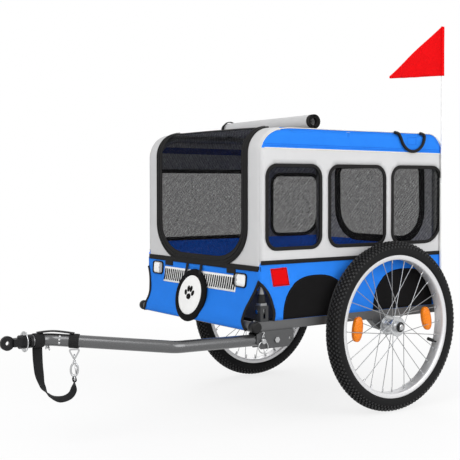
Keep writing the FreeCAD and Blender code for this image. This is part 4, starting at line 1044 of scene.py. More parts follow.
def makeShell():
    steps = 30
    for sign, word in hands:
        levels = [roofFrom * (k / steps) ** 1.6 for k in range(steps + 1)]
        inner = [(sign * doorEdge(s), s) for s in levels]
        outer = [(sign * cornerReach(s), s) for s in [roofFrom * k / steps for k in range(steps + 1)]]
        layCloth(word + "Post", shell, plan(*inner, *outer[::-1]), greyCloth, "grey_cloth", "stretched",
                 [word + "_side_frame"], word + "_front_post", gap=0.008, linings=[greyLining])
    layCloth("roofSheet", shell, shellStrip(roofFrom, roofTo), [greyCloth, blueCloth], "grey_cloth",
             "stretched", bothFrames, "roof_cloth", gap=0.014,
             pick=lambda middle: 1 if abs(middle.x) > cornerFlat else 0,
             seams=[plan((side * cornerFlat, roofFrom), (side * cornerFlat, roofTo)) for side in (1, -1)],
             linings=[greyLining, greyLining])


rearDoor = {"half": 0.202, "low": 0.484, "high": 0.732, "round": 0.10, "topRound": 0.03, "tape": 0.025,
            "tapeThick": 0.0030, "sewnIn": 0.010, "blueBelow": 0.006, "seamIn": 0.012}


def makeRear():
    def atZ(z):
        return rearFrom + (roofZ - cabin["rearRound"] - z)
    reach = cornerReach(roofTo)
    half, low, high = rearDoor["half"], atZ(rearDoor["low"]), atZ(rearDoor["high"])
    seam, stripeEnd, blueTop = (atZ(z) for z in (cabin["seam"], cabin["stripeRear"],
                                                 rearDoor["low"] - rearDoor["blueBelow"]))
    hole = rounded([(-half, low, rearDoor["round"]), (half, low, rearDoor["round"]),
                    (half, high, rearDoor["topRound"]), (-half, high, rearDoor["topRound"])])
    seams = [plan((-reach, level), (reach, level)) for level in (seam, blueTop)]
    for side in (1, -1):
        turnAt = side * cornerFlat
        seams.append(plan((turnAt, roofTo), (turnAt, stripeEnd), (side * reach, stripeEnd)))

    def rearPick(middle):
        if middle.y > blueTop:
            return 0 if middle.y > seam else 2
        return 3 if abs(middle.x) > cornerFlat and middle.y < stripeEnd else 1
    layCloth("rearCloth", shell, shellStrip(roofTo, shellEnd), [blueCloth, greyCloth, greyCloth, blueCloth],
             "grey_cloth", "stretched", bothFrames + ["rear_cross_tube"], "rear_wall", holes=[hole],
             # blueLining and rearLining glow here as painted light on the rear wall's inside
             seams=seams, pick=rearPick, linings=[blueLining, rearLining, blueLining, greyLining])
    layCloth("rearNet", offset(shell, -net["sink"]), hole, blackNet, "net_cloth", "stretched", ["rear_wall"],
             "rear_window", gap=net["gap"], thick=net["thick"])
    line = plan((-reach + rearDoor["seamIn"], seam), (reach - rearDoor["seamIn"], seam))
    inner = offset(shell, -binding["backSink"], True)
    parts = [makeTape("tape", shell, hole, rearDoor["tape"], rearDoor["tapeThick"], blackCloth, True),
             makeTape("tape", inner, hole, rearDoor["tape"], binding["back"], blackCloth, True),
             makeTape("tape", shell, line, binding["seam"], binding["thick"], bindTape)]
    cabinSoft(joined("rearBinding", parts), "black_webbing")
    sew("cabin", shell, hole, (-rearDoor["sewnIn"], rearDoor["sewnIn"]), rearDoor["tapeThick"], True)


door = {"edge": 0.024, "edgeIn": 0.002, "edgeThick": 0.0030, "sewnIn": 0.0095, "piping": 0.006,
        "pipingThick": 0.0042, "netSink": 0.0008, "netIn": 0.001, "hem": 0.022, "hemDrop": 0.012,
        "toothWide": 0.0028, "toothGap": 0.0026}


def makeDoor():
    layCloth("doorNet", offset(shell, -door["netSink"]), doorPath(door["netIn"]), blackNet, "net_cloth",
             "hung", ["left_front_post", "right_front_post", "roof_cloth"], "front_door", "front_door",
             gap=0.016, thick=net["thick"])
    edgeLine = doorPath(door["edge"] / 2 + door["edgeIn"])
    half, hemAt = cabin["doorHalf"] - door["netIn"], roofFrom - door["hemDrop"]
    hem = plan((-half, hemAt), (half, hemAt))
    parts = [makeTape("tape", shell, edgeLine, door["edge"], door["edgeThick"], doorTape),
             makeTape("tape", shell, hem, door["hem"], binding["thick"], doorTape)]
    cabinSoft(joined("doorBand", parts), "black_webbing", "front_door")
    sew("door", shell, edgeLine, (-door["sewnIn"], door["sewnIn"]), door["edgeThick"])
    edging = makeTape("doorPiping", shell, doorPath(0.0), door["piping"], door["pipingThick"], bindTape)
    cabinSoft(edging, "black_webbing")
    w = door["toothWide"]
    section = [(-w, -0.0006), (w, -0.0006), (w, 0.0008), (-w, 0.0008)]
    tooth = makeBar("tooth", [Vector((0, 0, -0.0006)), Vector((0, 0, 0.0006))], section, blackPlastic,
                    up=xWay)
    top = offset(shell, door["edgeThick"] + 0.0002)
    line = [top(p.x, p.y)[0] for p in resample(edgeLine, 0.008, False)]
    zipRow = alongLines("doorZip", [line], tooth, door["toothGap"], blackPlastic)
    discard(tooth)
    cabinSoft(zipRow, "black_plastic", "front_door")


frontBand = {"wide": 0.015, "thick": 0.0036, "rise": 0.0015, "sewnIn": 0.0055, "endIn": 0.014,
             "over": 0.0005}


def makeApron():
    right = rounded(apron["tear"], closed=False, steps=8)
    left = [Vector((-p.x, p.y)) for p in right]
    top = plan((apron["half"], apron["top"]), (-apron["half"], apron["top"]))
    layCloth("frontApron", apronSurface, right + top + left[::-1], blueCloth, "blue_cloth", "stretched",
             ["front_cross_tube"], "front_apron", gap=0.010)
    parts = [makeTape("tape", apronSurface, edge, binding["edge"], apron["edgeThick"], bindTape)
             for edge in (right, left)]
    cabinSoft(joined("apronBinding", parts), "black_webbing")
    rise, reach, sewnReach = frontBand["rise"], halfY + frontBand["over"], halfY - frontBand["endIn"]
    band = makeTape("frontBand", shell, plan((-reach, rise), (reach, rise)), frontBand["wide"],
                    frontBand["thick"], bindTape)
    cabinSoft(band, "black_webbing")
    sewnIn = frontBand["sewnIn"]
    sew("cabin", shell, plan((-sewnReach, rise), (sewnReach, rise)), (-sewnIn, sewnIn), frontBand["thick"])


def makeFloorHem():  # strip of cloth between the floor panel's front edge and the cross tube
    tube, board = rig.box("front_cross_tube")[0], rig.box("floor_board")[1]

    def surface(y, z):
        return Vector(((tube.x + board.x) / 2, y, z)), xWay
    strip = box2d(-0.262, 0.262, tube.z + 0.008, board.z, 0.004)
    made = makeSheet("floorHem", surface, strip, blackCloth, gap=0.02, thick=0.0012)
    rides(made[0], "chassis", "black_webbing")
    declareSheet(made, "hung", ["floor_board"])


for sign, word in hands:
    makeSide(sign, word)
makeShell()
makeRear()
makeDoor()
makeApron()
makeFloorHem()
print("cabin cloth made")


# sewn patches on the sides: wheel-arch shapes, a red square, pale piping under the roof

patches = {"archLow": 0.2942, "archTop": 0.412, "arches": [(0.376, 0.142), (0.039, -0.211)], "lift": 0.0012,
           "thick": 0.0010, "sewnIn": 0.004, "redSewnIn": 0.003, "stitchLift": 0.0004,
           "red": [(0.412, 0.387), (0.421, 0.436), (0.365, 0.438), (0.355, 0.388)]}


def makePatches(sign, word):
    raised = offset(sideOf[sign], patches["lift"])
    parts = []
    for near, far in patches["arches"]:
        middle, half = station((near + far) / 2), (near - far) / 2
        low, high = patches["archLow"], patches["archTop"]
        arch = []
        for k in range(33):
            a = math.pi * k / 32
            power = 0.82 if 0.25 < k / 32 < 0.75 else 0.9
            run = math.copysign(abs(math.cos(a)) ** power, math.cos(a))
            arch.append(Vector((middle + half * run, low + (high - low) * math.sin(a) ** 0.75)))
        parts.append(makeSheet("arch", raised, arch, blackCloth, thick=patches["thick"])[0])
        sew(word + "Wall", raised, arch[1:-1], [patches["sewnIn"]], patches["stitchLift"])
    cabinSoft(joined(word + "Arches", parts), "black_webbing")
    if sign > 0:
        square = plan(*[(station(x), z) for x, z in patches["red"]])
        piece = makeSheet("redPatch", raised, square[::-1], redCloth, gap=0.008, thick=patches["thick"])[0]
        cabinSoft(piece, "red_cloth")
        sew(word + "Wall", raised, square, [patches["redSewnIn"]], patches["stitchLift"], True)


piping = {"radius": 0.0013, "lift": 0.0004, "stripeTape": 0.0032, "stripeThick": 0.0011,
          "sewnIn": (0.007, 0.0115), "blendLong": 0.06, "ahead": 0.105, "welt": 0.0013, "weltLift": 0.0003,
          "weltFrom": 0.022, "weltTo": 0.10, "postSeam": 0.004,
          "square": [(-0.138, 0.7873), (-0.1008, 0.7865), (-0.1006, 0.8066), (-0.1378, 0.8076)]}


def makePiping(sign, word):
    side, across = sideOf[sign], yWay
    topEdge = halfY - cabin["corner"] * 0.45
    line, welt = [], []
    for k in range(61):
        s = roofFrom - piping["ahead"] + (roofTo + rearArc * 0.85 - roofFrom + piping["ahead"]) * k / 60
        share = clamp((s - roofFrom + 0.03) / piping["blendLong"])
        reach = cornerReach(s) + (topEdge - cornerReach(s)) * share
        line.append(offset(shell, piping["lift"])(sign * reach, s)[0])
    stripe = plan((rearX + 0.009, stripeAt(rearX)), (frontX - 0.016, stripeAt(frontX)))
    parts = [makeBar("piping", line, circleSection(piping["radius"], 8), creamPiping, up=across),
             makeTape("piping", side, stripe, piping["stripeTape"], piping["stripeThick"], creamPiping)]
    cabinSoft(joined(word + "Piping", parts), "grey_cloth")
    sew(word + "Stripe", side, stripe, piping["sewnIn"])
    for k in range(31):
        s = piping["weltFrom"] + (roofFrom - piping["weltTo"] - piping["weltFrom"]) * k / 30
        reach = cornerReach(s) + piping["weltLift"]
        welt.append(offset(shell, piping["weltLift"])(sign * reach, s)[0])
    bead = makeBar(word + "Welt", welt, circleSection(piping["welt"], 8), greyCloth, up=across)
    cabinSoft(bead, "grey_cloth")
    seamX = frontX - cabin["postSide"] - piping["postSeam"]
    sew(word + "Grey", side, plan((seamX, cabin["seam"] + 0.01), (seamX, roofZ - 0.095)), [0.0])
    if sign > 0:
        sew(word + "Stripe", side, plan(*[(station(x), z) for x, z in piping["square"]]), [0.0], closed=True)


for sign, word in hands:
    makePatches(sign, word)
for sign, word in hands:
    makePiping(sign, word)

threads = {"Stripe": (blueThread, "blue_cloth"), "Grey": (greyThread, "grey_cloth")}
for group, lines in sewn.items():
    kind = next((name for name in threads if group.endswith(name)), None)
    finish, slotName = threads.get(kind, (blackThread, "black_webbing"))
    row = alongLines(group + "Stitches", lines, stitchPiece, thread["spacing"], finish)
    cabinSoft(row, slotName, "front_door" if group == "door" else "chassis")
discard(stitchPiece)
print("patches and stitches made")


# tyres: a carcass under the tread, and knobs that reach the CAD tyre's outer size

tread = {"carcass": 0.2452, "half": 0.024, "bead": 0.2075, "beadHalf": 0.0125, "wall": 0.2125,
         "wallHalf": 0.0135, "skin": 0.0008, "wrap": 124, "steps": 24, "count": 112, "knobHigh": 0.0046,
         "sunk": 0.0014, "proud": 0.0006, "edgeLean": 50, "edgeHigh": 0.6,
         "layers": [(0.0, 1.0), (0.72, 0.92), (1.0, 0.72)],
         "rows": [(0.0, 0.0080, 0.0060, 0.0), (15.0, 0.0072, 0.0050, 0.5), (30.0, 0.0074, 0.0050, 0.0),
                  (46.0, 0.0078, 0.0058, 0.5), (62.0, 0.0056, 0.0062, 0.0)]}  # lean, long, wide, shift


def makeTyre(sign, word):
    spot = wheelCentre(sign)
    middle = tread["carcass"] - tread["half"] + tread["skin"]
    wrap, steps = tread["wrap"], tread["steps"]
    bead = [(tread["bead"], tread["beadHalf"]), (tread["wall"], tread["wallHalf"])]
    section = [(r, -y) for r, y in bead]
    for k in range(steps + 1):
        a = math.radians(2 * wrap * k / steps - wrap)
        section.append((middle + (tread["half"] - tread["skin"]) * math.cos(a),
                        (tread["half"] - tread["skin"] / 2) * math.sin(a)))
    parts = [makeTurned(word + "Carcass", section + bead[::-1], spot, (0, 1, 0), tyreRubber[sign], sides=160)]
    step = 2 * math.pi / tread["count"]
    for lean, long, wide, shift in tread["rows"]:
        tall = tread["knobHigh"] * (1.0 if lean < tread["edgeLean"] else tread["edgeHigh"])
        for side in (1, -1) if lean else (1,):
            a = math.radians(lean * side)
            out = Vector((0, math.sin(a), math.cos(a)))
            across = Vector((0, math.cos(a), -math.sin(a)))
            foot = Vector((0, 0, middle)) + out * (tread["half"] - tread["sunk"])
            verts = []
            for high, shrink in tread["layers"]:
                for u, v in ((-1, -1), (1, -1), (1, 1), (-1, 1)):
                    verts.append(foot + out * (tall * high + tread["proud"])
                                 + Vector((u * long / 2 * shrink, 0, 0))
                                 + across * (v * wide / 2 * shrink))
            faces = quads(3, 4) + [(8, 9, 10, 11)]
            knob = outward(addMesh("knob", verts, faces, knobRubber[sign], smooth=False))
            start = step * shift + (step / 4 if side < 0 else 0)
            row = spun("row", knob, tread["count"], step, start, spot, knobRubber[sign])
            for face in row.data.polygons:
                face.use_smooth = False
            discard(knob)
            parts.append(row)
    tyre = joined(word + "Tyre", parts)
    rides(tyre, word + "_wheel", "tyre_rubber")
    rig.replaces(tyre, word + "_tyre")


rim = {"inner": 0.1950, "outer": 0.2122, "floor": 0.2045, "edge": 0.0190}


def makeRim(sign, word):  # box rim with flat flanks and a channel for the tyre
    inner, outer, edge = rim["inner"], rim["outer"], rim["edge"]
    half = [(inner, edge * 0.50), (inner + 0.0008, edge * 0.84), (inner + 0.0024, edge * 0.95),
            (outer - 0.0028, edge), (outer - 0.0005, edge * 0.965), (outer, edge * 0.89),
            (outer - 0.0055, edge * 0.83), (rim["floor"], edge * 0.55)]
    section = half + [(r, -y) for r, y in half[::-1]]
    made = makeTurned(word + "Rim", section, wheelCentre(sign), (0, 1, 0), rimAlloy, sides=144, closed=True)
    rides(made, word + "_wheel", "alloy")
    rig.replaces(made, word + "_rim")


wheelBits = {"nippleRadius": 0.0022, "nippleLong": 0.012, "nippleSide": 0.003, "pairs": 7, "flange": 0.020,
             "flangeRadius": 0.026, "head": [(0.0, 0.0011), (0.0014, 0.0009), (0.0020, 0.0)],
             "headLift": 0.0016,
             "axleRing": [(0.0098, -0.0012), (0.0102, 0.0016), (0.0112, 0.0022), (0.0138, 0.0020),
                          (0.0148, 0.0008), (0.0149, -0.0012)], "valveTip": 0.1572,
             "valveCap": [(0.0, 0.0), (0.0042, 0.0), (0.0052, 0.0012), (0.0052, 0.0235), (0.0046, 0.0245),
                          (0.0022, 0.0245)]}


def makeWheelBits(sign, word):
    spot = wheelCentre(sign)
    pairs, r, long = wheelBits["pairs"], wheelBits["nippleRadius"], wheelBits["nippleLong"]
    step = 2 * math.pi / pairs
    parts = []
    for side in (1, -1):
        foot = Vector((0, side * wheelBits["nippleSide"], rim["inner"] - long))
        section = [(0.0, 0.0), (r * 0.7, 0.0), (r, 0.002), (r, long)]
        nipple = makeTurned("nipple", section, foot, (0, 0, 1), brightSteel, sides=8)
        shift = 0.0 if side > 0 else step / 4
        for half in (0.0, 0.5):
            start = math.pi / 2 - shift - step * half
            parts.append(spun("nipples", nipple, pairs, step, start, spot, brightSteel))
        discard(nipple)
        seat = Vector((0, side * (wheelBits["flange"] + wheelBits["headLift"]), wheelBits["flangeRadius"]))
        head = makeTurned("spokeHead", wheelBits["head"], seat, (0, side, 0), brightSteel, sides=8)
        parts.append(spun("heads", head, 2 * pairs, step / 2, step / 8, spot, brightSteel))
        discard(head)
    rides(joined(word + "Nipples", parts), word + "_wheel", "bright_steel")
    axleLow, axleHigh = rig.box(word + "_axle")
    end = Vector((spot.x, axleHigh.y if sign > 0 else axleLow.y, spot.z))
    ring = makeTurned(word + "AxleRing", wheelBits["axleRing"], end, (0, sign, 0), blackPlastic, sides=36,
                      closed=True)
    rides(ring, "chassis", "black_plastic")
    low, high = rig.box(word + "_valve")
    out = ((low + high) / 2 - spot) * Vector((1, 0, 1))
    out.normalize()
    tip = spot + out * wheelBits["valveTip"]
    cap = makeTurned(word + "ValveCap", wheelBits["valveCap"], tip, out, blackPlastic, sides=20)
    rides(cap, word + "_wheel", "black_plastic")


def squared(angle, power):  # a circle drawn out towards its corners
    c, s = math.cos(angle), math.sin(angle)
    grow = 1 / (abs(c) ** power + abs(s) ** power) ** (1 / power)
    return c * grow, s * grow


def swung(u, v, angle):
    return u * math.cos(angle) - v * math.sin(angle), u * math.sin(angle) + v * math.cos(angle)


lens = {"wide": 0.0345, "long": 0.0725, "square": 2.35, "steps": 40, "front": (0.002, 0.13),
        "rear": (0.011, -0.24),
        "rings": [(0.0, 1.0), (0.5, 0.98), (0.80, 0.90), (0.82, 0.80), (0.94, 0.74), (0.99, 0.55),
                  (1.0, 0.0)]}


def makeReflectors(word):
    low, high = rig.box(word + "_reflectors")
    thick = (high.y - low.y) / 2 - 0.0006
    reach = (high.x - low.x) / 2 - lens["wide"] / 2
    rings = lens["rings"] + [(r, -h) for r, h in lens["rings"][::-1][1:]]
    parts = []
    for aside, (rise, tilt) in ((reach, lens["front"]), (-reach, lens["rear"])):
        verts = []
        for r, h in rings:
            for a in turns(lens["steps"]):
                c, s = squared(a, lens["square"])
                u, v = swung(lens["wide"] / 2 * c * r, lens["long"] / 2 * s * r, tilt)
                verts.append((low + high) / 2 + Vector((aside + u, thick * h, rise + v)))
        parts.append(addMesh("lens", verts, quads(len(rings), lens["steps"]), orangeLens))
    made = outward(joined(word + "Lenses", parts), merge=True)
    rides(made, word + "_wheel", "orange_lens")
    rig.replaces(made, word + "_reflectors")


for sign, word in hands:
    makeReflectors(word)
    makeTyre(sign, word)
    makeRim(sign, word)
    makeWheelBits(sign, word)
print("wheels made")


# front trim: padded lamps, slatted panel, hanging badge

lamps = {"wide": 0.057, "high": 0.037, "deep": 0.0055, "base": 0.0004, "left": (0.2085, 0.4010),
         "right": (-0.2300, 0.4055), "shadePart": 0.20, "square": 5.0, "rings": 9, "sides": 44,
         "edgeRound": 0.009, "edge": 0.0030, "edgeThick": 0.0046}


def makePad(name, centreY, centreZ, finishes):
    rings, verts, uvs = lamps["rings"], [], []
    for ring in range(rings + 1):
        grow = (1 - ring / rings) ** 0.5
        raised = offset(apronSurface, lamps["base"] + lamps["deep"] * (1 - grow ** 3.2))
        for a in turns(lamps["sides"]):
            c, s = squared(a, lamps["square"])
            y, z = lamps["wide"] / 2 * c * grow, lamps["high"] / 2 * s * grow
            verts.append(raised(centreY + y, centreZ + z)[0])
            uvs.append((y, z))
    return outward(addMesh(name, verts, tubeFaces(rings + 1, lamps["sides"]), finishes, uvs))


def makeLamps():
    pads, rims = [], []
    w, h = lamps["wide"] / 2, lamps["high"] / 2
    for sign, word in hands:
        y, z = lamps[word]
        pad = makePad("lamp" + word.title(), y, z, [whiteCloth, shadeCloth])
        for face in pad.data.polygons:
            inner = (face.center.y - y) * sign
            face.material_index = 1 if inner < -lamps["wide"] * lamps["shadePart"] else 0
        cabinSoft(pad, "white_cloth")
        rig.padded(pad, fill=0.7)
        pads.append(pad)
        loop = box2d(y - w, y + w, z - h, z + h, lamps["edgeRound"])
        rims.append(makeTape("rim", apronSurface, loop, lamps["edge"], lamps["edgeThick"], bindTape, True))
    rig.replaces(pads[0], "padded_lamps")
    cabinSoft(joined("lampBinding", rims), "black_webbing")


grille = {"half": 0.190, "low": 0.366, "high": 0.412, "lift": 0.0013, "thick": 0.001, "slats": 34,
          "slatWide": 0.0054, "slatLift": 0.0024, "border": 0.006, "lean": 0.004, "tabs": (-0.168, 0.162),
          "tabWide": 0.045, "tabFrom": 0.4345, "tabTo": 0.4165}


def makeGrille():
    half, raised = grille["half"], offset(apronSurface, grille["lift"])
    loop = box2d(-half, half, grille["low"], grille["high"], 0.002)
    cabinSoft(makeSheet("grillePanel", raised, loop, whiteCloth, thick=grille["thick"])[0], "white_cloth")
    low, high = grille["low"] + grille["border"], grille["high"] - grille["border"]
    centre, reach = (low + high) / 2, half - grille["border"]
    across = []
    for z in (low, centre, high):
        ahead = apronSurface(0, z)[0].x - apronSurface(0, centre)[0].x
        across.append(Vector((ahead, centre - z, (z - centre) / (high - low) * grille["lean"])))
    section = [(a, b * 0.30) for a, b in circleSection(grille["slatWide"] / 2, 8)]
    slat = makeBar("slat", across, section, blackCloth, up=xWay)
    lift = Vector((grille["slatLift"], 0, 0))
    line = [apronSurface(reach * share, centre)[0] + lift for share in (-1, -0.5, 0, 0.5, 1)]
    slats = alongLines("grilleSlats", [line], slat, 2 * reach / grille["slats"], blackCloth)
    cabinSoft(slats, "black_webbing")
    discard(slat)
    lines = [plan((y, grille["tabFrom"]), (y, grille["tabTo"])) for y in grille["tabs"]]
    tabs = [makeTape("tab", apronSurface, line, grille["tabWide"], binding["thick"], blackWebbing)
            for line in lines]
    cabinSoft(joined("bandTabs", tabs), "black_webbing")


badge = {"y": -0.015, "radius": 0.078, "face": 0.0610, "tube": 0.0115, "thick": 0.0068, "ahead": 0.0215,
         "drop": 0.004, "faceLift": 0.0040, "crown": 0.003, "markLift": 0.0011, "markThick": 0.0008,
         "markGap": 0.006, "loops": 0.037, "sides": 64, "tubeSides": 14,
         "toes": [(-0.0185, 0.006, 0.0062, 0.0085, 0.45), (-0.0068, 0.0175, 0.0064, 0.0092, 0.14),
                  (0.0068, 0.0175, 0.0064, 0.0092, -0.14), (0.0185, 0.006, 0.0062, 0.0085, -0.45)],
         "pad": [(-0.0165, -0.0165, 0.008), (0.0, -0.0125, 0.02), (0.0165, -0.0165, 0.008),
                 (0.009, 0.0005, 0.008), (0.0, 0.0042, 0.007), (-0.009, 0.0005, 0.008)]}


def makeBadge():
    lean = math.atan2(apron["slope"], apron["top"] - apron["turn"])
    out = Vector((math.cos(lean), 0, math.sin(lean)))
    up = Vector((-math.sin(lean), 0, math.cos(lean)))
    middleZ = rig.box("badge_disc")[0].z + badge["radius"] * math.cos(lean) - badge["drop"]
    base = Vector((frontX + badge["ahead"], badge["y"], middleZ))

    def disc(y, z, lift):
        return base + yWay * y + up * z + out * lift
    sides, tube = badge["sides"], badge["tube"]
    section = [(badge["radius"] - tube + tube * math.cos(a), badge["thick"] * math.sin(a))
               for a in turns(badge["tubeSides"])]
    verts, uvs = [], []
    for a in turns(sides):
        verts += [disc(r * math.cos(a), r * math.sin(a), lift) for r, lift in section]
        uvs += [(a * 0.07, lift) for r, lift in section]
    ring = outward(addMesh("badgeRing", verts, quads(sides, len(section), True), blackCloth, uvs))
    cabinSoft(ring, "black_webbing", "badge")
    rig.replaces(ring, "badge_disc")
    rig.padded(ring, fill=0.8)

    def faceSurface(y, z):
        share = min(1.0, math.hypot(y, z) / badge["face"])
        return disc(y, z, badge["faceLift"] + badge["crown"] * (1 - share ** 2)), out
    circle = plan(*[(badge["face"] * math.cos(a), badge["face"] * math.sin(a)) for a in turns(60)])
    face = makeSheet("badgeFace", faceSurface, circle, whiteCloth, gap=0.008, thick=0.001)[0]
    cabinSoft(face, "white_cloth", "badge")
    raised = offset(faceSurface, badge["markLift"])
    shapes = []
    for y, z, wide, high, turn in badge["toes"]:
        toe = [swung(wide * math.cos(a), high * math.sin(a), turn) for a in turns(24)]
        shapes.append(plan(*[(y + u, z + v) for u, v in toe]))
    shapes.append(rounded(badge["pad"], steps=6))
    marks = [makeSheet("mark", raised, shape, blackCloth, gap=badge["markGap"], thick=badge["markThick"])[0]
             for shape in shapes]
    cabinSoft(joined("badgePaw", marks), "black_webbing", "badge")
    top = badge["radius"] - 0.006
    high = joints["badge_swing"]["pos_m"][2] - 0.0045
    loops = []
    for y in (-badge["loops"], badge["loops"]):
        foot = disc(y, math.sqrt(top ** 2 - y ** 2), 0.005)
        head = apronSurface(badge["y"] + y - 0.010, high)[0] + Vector((0.0018, 0, 0))
        points = [foot, foot.lerp(head, 0.3) + Vector((0.002, 0, 0)), foot.lerp(head, 0.75), head]
        loops.append(makeBar("loop", points, flatSection(0.011, 0.0022), blackWebbing, up=out))
    cabinSoft(joined("badgeLoops", loops), "black_webbing", "badge")


makeLamps()
makeGrille()
makeBadge()
print("front trim made")


# rolled rain cover on the roof

roll = {"from": (0.179, -0.260), "to": (0.238, 0.260), "inner": 0.0112, "outer": 0.0222, "turns": 2.7,
        "high": 0.0233, "cloth": 0.0016, "hem": 0.007, "ties": (0.022, 0.028), "tieRadius": 0.0246,
        "tie": 0.0016, "tieSides": 28, "perTurn": 22, "spans": 24, "slackest": 1.03,
        "toggle": [(0.0, -0.011), (0.005, -0.009), (0.0064, -0.004), (0.0064, 0.004), (0.005, 0.009),
                   (0.0, 0.011)]}
coverLoop = {"radius": 0.0046,
             "route": [(-0.044, 0.0045, 0.8205), (-0.058, 0.0050, 0.8200), (-0.066, 0.0060, 0.811),
                       (-0.079, 0.0065, 0.782), (-0.105, 0.0065, 0.7650), (-0.135, 0.0065, 0.7650),
                       (-0.161, 0.0065, 0.782), (-0.171, 0.0065, 0.807), (-0.168, 0.0050, 0.8195),
                       (-0.152, 0.0045, 0.8205)]}


def ringAt(spot, aside, above, radius, count):
    return [spot + (aside * math.cos(a) + above * math.sin(a)) * radius for a in turns(count)]


def makeRoll():
    start, end = (Vector((station(x), y, roofZ + roll["high"])) for x, y in (roll["from"], roll["to"]))
    along = (end - start).normalized()
    aside = along.cross(zWay).normalized()
    above = aside.cross(along)
    whole, hem = (end - start).length, roll["hem"]
    spans = roll["spans"]
    middle = [2 * hem + (whole - 4 * hem) * k / spans for k in range(spans + 1)]
    lengths = [0.0, hem] + middle + [whole - hem, whole]
    count = int(roll["turns"] * roll["perTurn"])
    verts, faces, uvs, picks = [], [], [], []
    for run in lengths:
        slack = 1 + 0.03 * math.sin(run * 11) + 0.02 * noise.noise(Vector((run * 6, 2.0, 0)))
        for k in range(count + 1):
            share = k / count
            angle = 2 * math.pi * roll["turns"] * share + 0.5
            radius = roll["inner"] + (roll["outer"] - roll["inner"]) * share * slack
            radius = min(radius, roll["outer"] * roll["slackest"])
            verts.append(start + along * run + aside * radius * math.cos(angle)
                         + above * radius * math.sin(angle))
            uvs.append((run, share * 0.35))
    for i in range(len(lengths) - 1):
        for k in range(count):
            a = i * (count + 1) + k
            faces.append((a, a + count + 1, a + count + 2, a + 1))
            picks.append(1 if i < 2 or i >= len(lengths) - 3 else 0)
    cover = addMesh("coverRoll", verts, faces, [greyCloth, bindTape], uvs, picks)
    area = sum(face.area for face in cover.data.polygons)
    thicken(cover, roll["cloth"])
    cabinSoft(cover, "grey_cloth")
    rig.replaces(cover, "cover_roll")
    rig.sheet(cover, flat=(whole, area / whole), held="folded", rests_on=["roof_cloth"])
    rings = [ringAt(start + along * run, aside, above, roll["tieRadius"], roll["tieSides"])
             for run in roll["ties"]]
    ties = [makeBar("tie", ring, circleSection(roll["tie"], 8), blackWebbing, closed=True, up=along)
            for ring in rings]
    knob = start + along * 0.025 - aside * 0.026 + Vector((0.004, 0, -0.012))
    ties.append(makeTurned("toggle", roll["toggle"], knob, (0.2, 1, 0.1), blackPlastic, sides=16))
    cabinSoft(joined("rollTie", ties), "black_webbing")
    route = nurbsLine([Vector((station(x), halfY + out, z)) for x, out, z in coverLoop["route"]])
    elastic = makeBar("coverLoop", route, circleSection(coverLoop["radius"], 8), blackWebbing,
                      up=Vector((0.2, 1, 0.1)))
    cabinSoft(elastic, "black_webbing")


makeRoll()


# pennant on its pole, and the pole's cloth sleeve

flag = {"wave": 0.007, "ripples": 9.0, "slant": 10, "gather": 0.8, "calm": 0.8,
        "thick": 0.0006, "footRise": 0.018, "poleGap": 0.004, "tipOut": 0.007,
        "tipDrop": 0.006, "tunnel": 0.0056, "tunnelThick": 0.0007, "sleeve": 0.0063, "sleeveThick": 0.0012,
        "sleeveRows": 30, "sleeveSides": 26}


def makeFlag():
    low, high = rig.box("flag")
    poleX, poleY, _ = ((a + b) / 2 for a, b in zip(*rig.box("flag_pole")))
    tip, foot = high.x, low.z + flag["footRise"]

    def cloth(x, z):
        share = max(0.0, (x - poleX) / (tip - poleX))
        swing = math.sin(flag["ripples"] * share + flag["slant"] * (z - foot))
        y = poleY + flag["wave"] * share ** flag["gather"] * swing * flag["calm"]
        return Vector((x, y, z)), yWay
    near = poleX + flag["poleGap"]
    corners = [(near, foot, 0), (tip + flag["tipOut"], low.z - flag["tipDrop"], 0.004), (near, high.z, 0)]
    outline = rounded(corners, steps=4)
    made = makeSheet("pennantCloth", cloth, outline, redCloth, gap=0.008, thick=flag["thick"])
    rides(made[0], "pennant", "red_cloth")
    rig.replaces(made[0], "flag")
    declareSheet(made, "hung", ["flag_pole"])
    r = flag["tunnel"]
    section = [(r, foot), (r + 0.0004, foot + 0.004), (r, (foot + high.z) / 2), (r + 0.0003, high.z - 0.004),
               (r - 0.0004, high.z)]
    tunnel = makeTurned("pennantTunnel", section, Vector((poleX, poleY, 0)), (0, 0, 1), redCloth, sides=24)
    rides(thicken(tunnel, flag["tunnelThick"]), "pennant", "red_cloth")
    sleeveLow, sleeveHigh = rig.box("flag_sleeve")
    rows, sides = flag["sleeveRows"], flag["sleeveSides"]
    verts, uvs = [], []
    for row in range(rows + 1):
        z = sleeveLow.z + 0.001 + (sleeveHigh.z - sleeveLow.z - 0.001) * row / rows
        for a in turns(sides):
            r = flag["sleeve"] + 0.0005 * noise.noise(Vector((math.cos(a), math.sin(a), z * 30)))
            verts.append(Vector((poleX + r * math.cos(a), poleY + r * math.sin(a), z)))
            uvs.append((a * r, z))
    sleeve = outward(addMesh("poleSleeve", verts, quads(rows + 1, sides), whiteCloth, uvs))
    cabinSoft(thicken(sleeve, flag["sleeveThick"]), "white_cloth")
    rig.replaces(sleeve, "flag_sleeve")


makeFlag()
print("roll and pennant made")


# safety strap: webbing that hangs from the snap hook to the collar behind the hitch

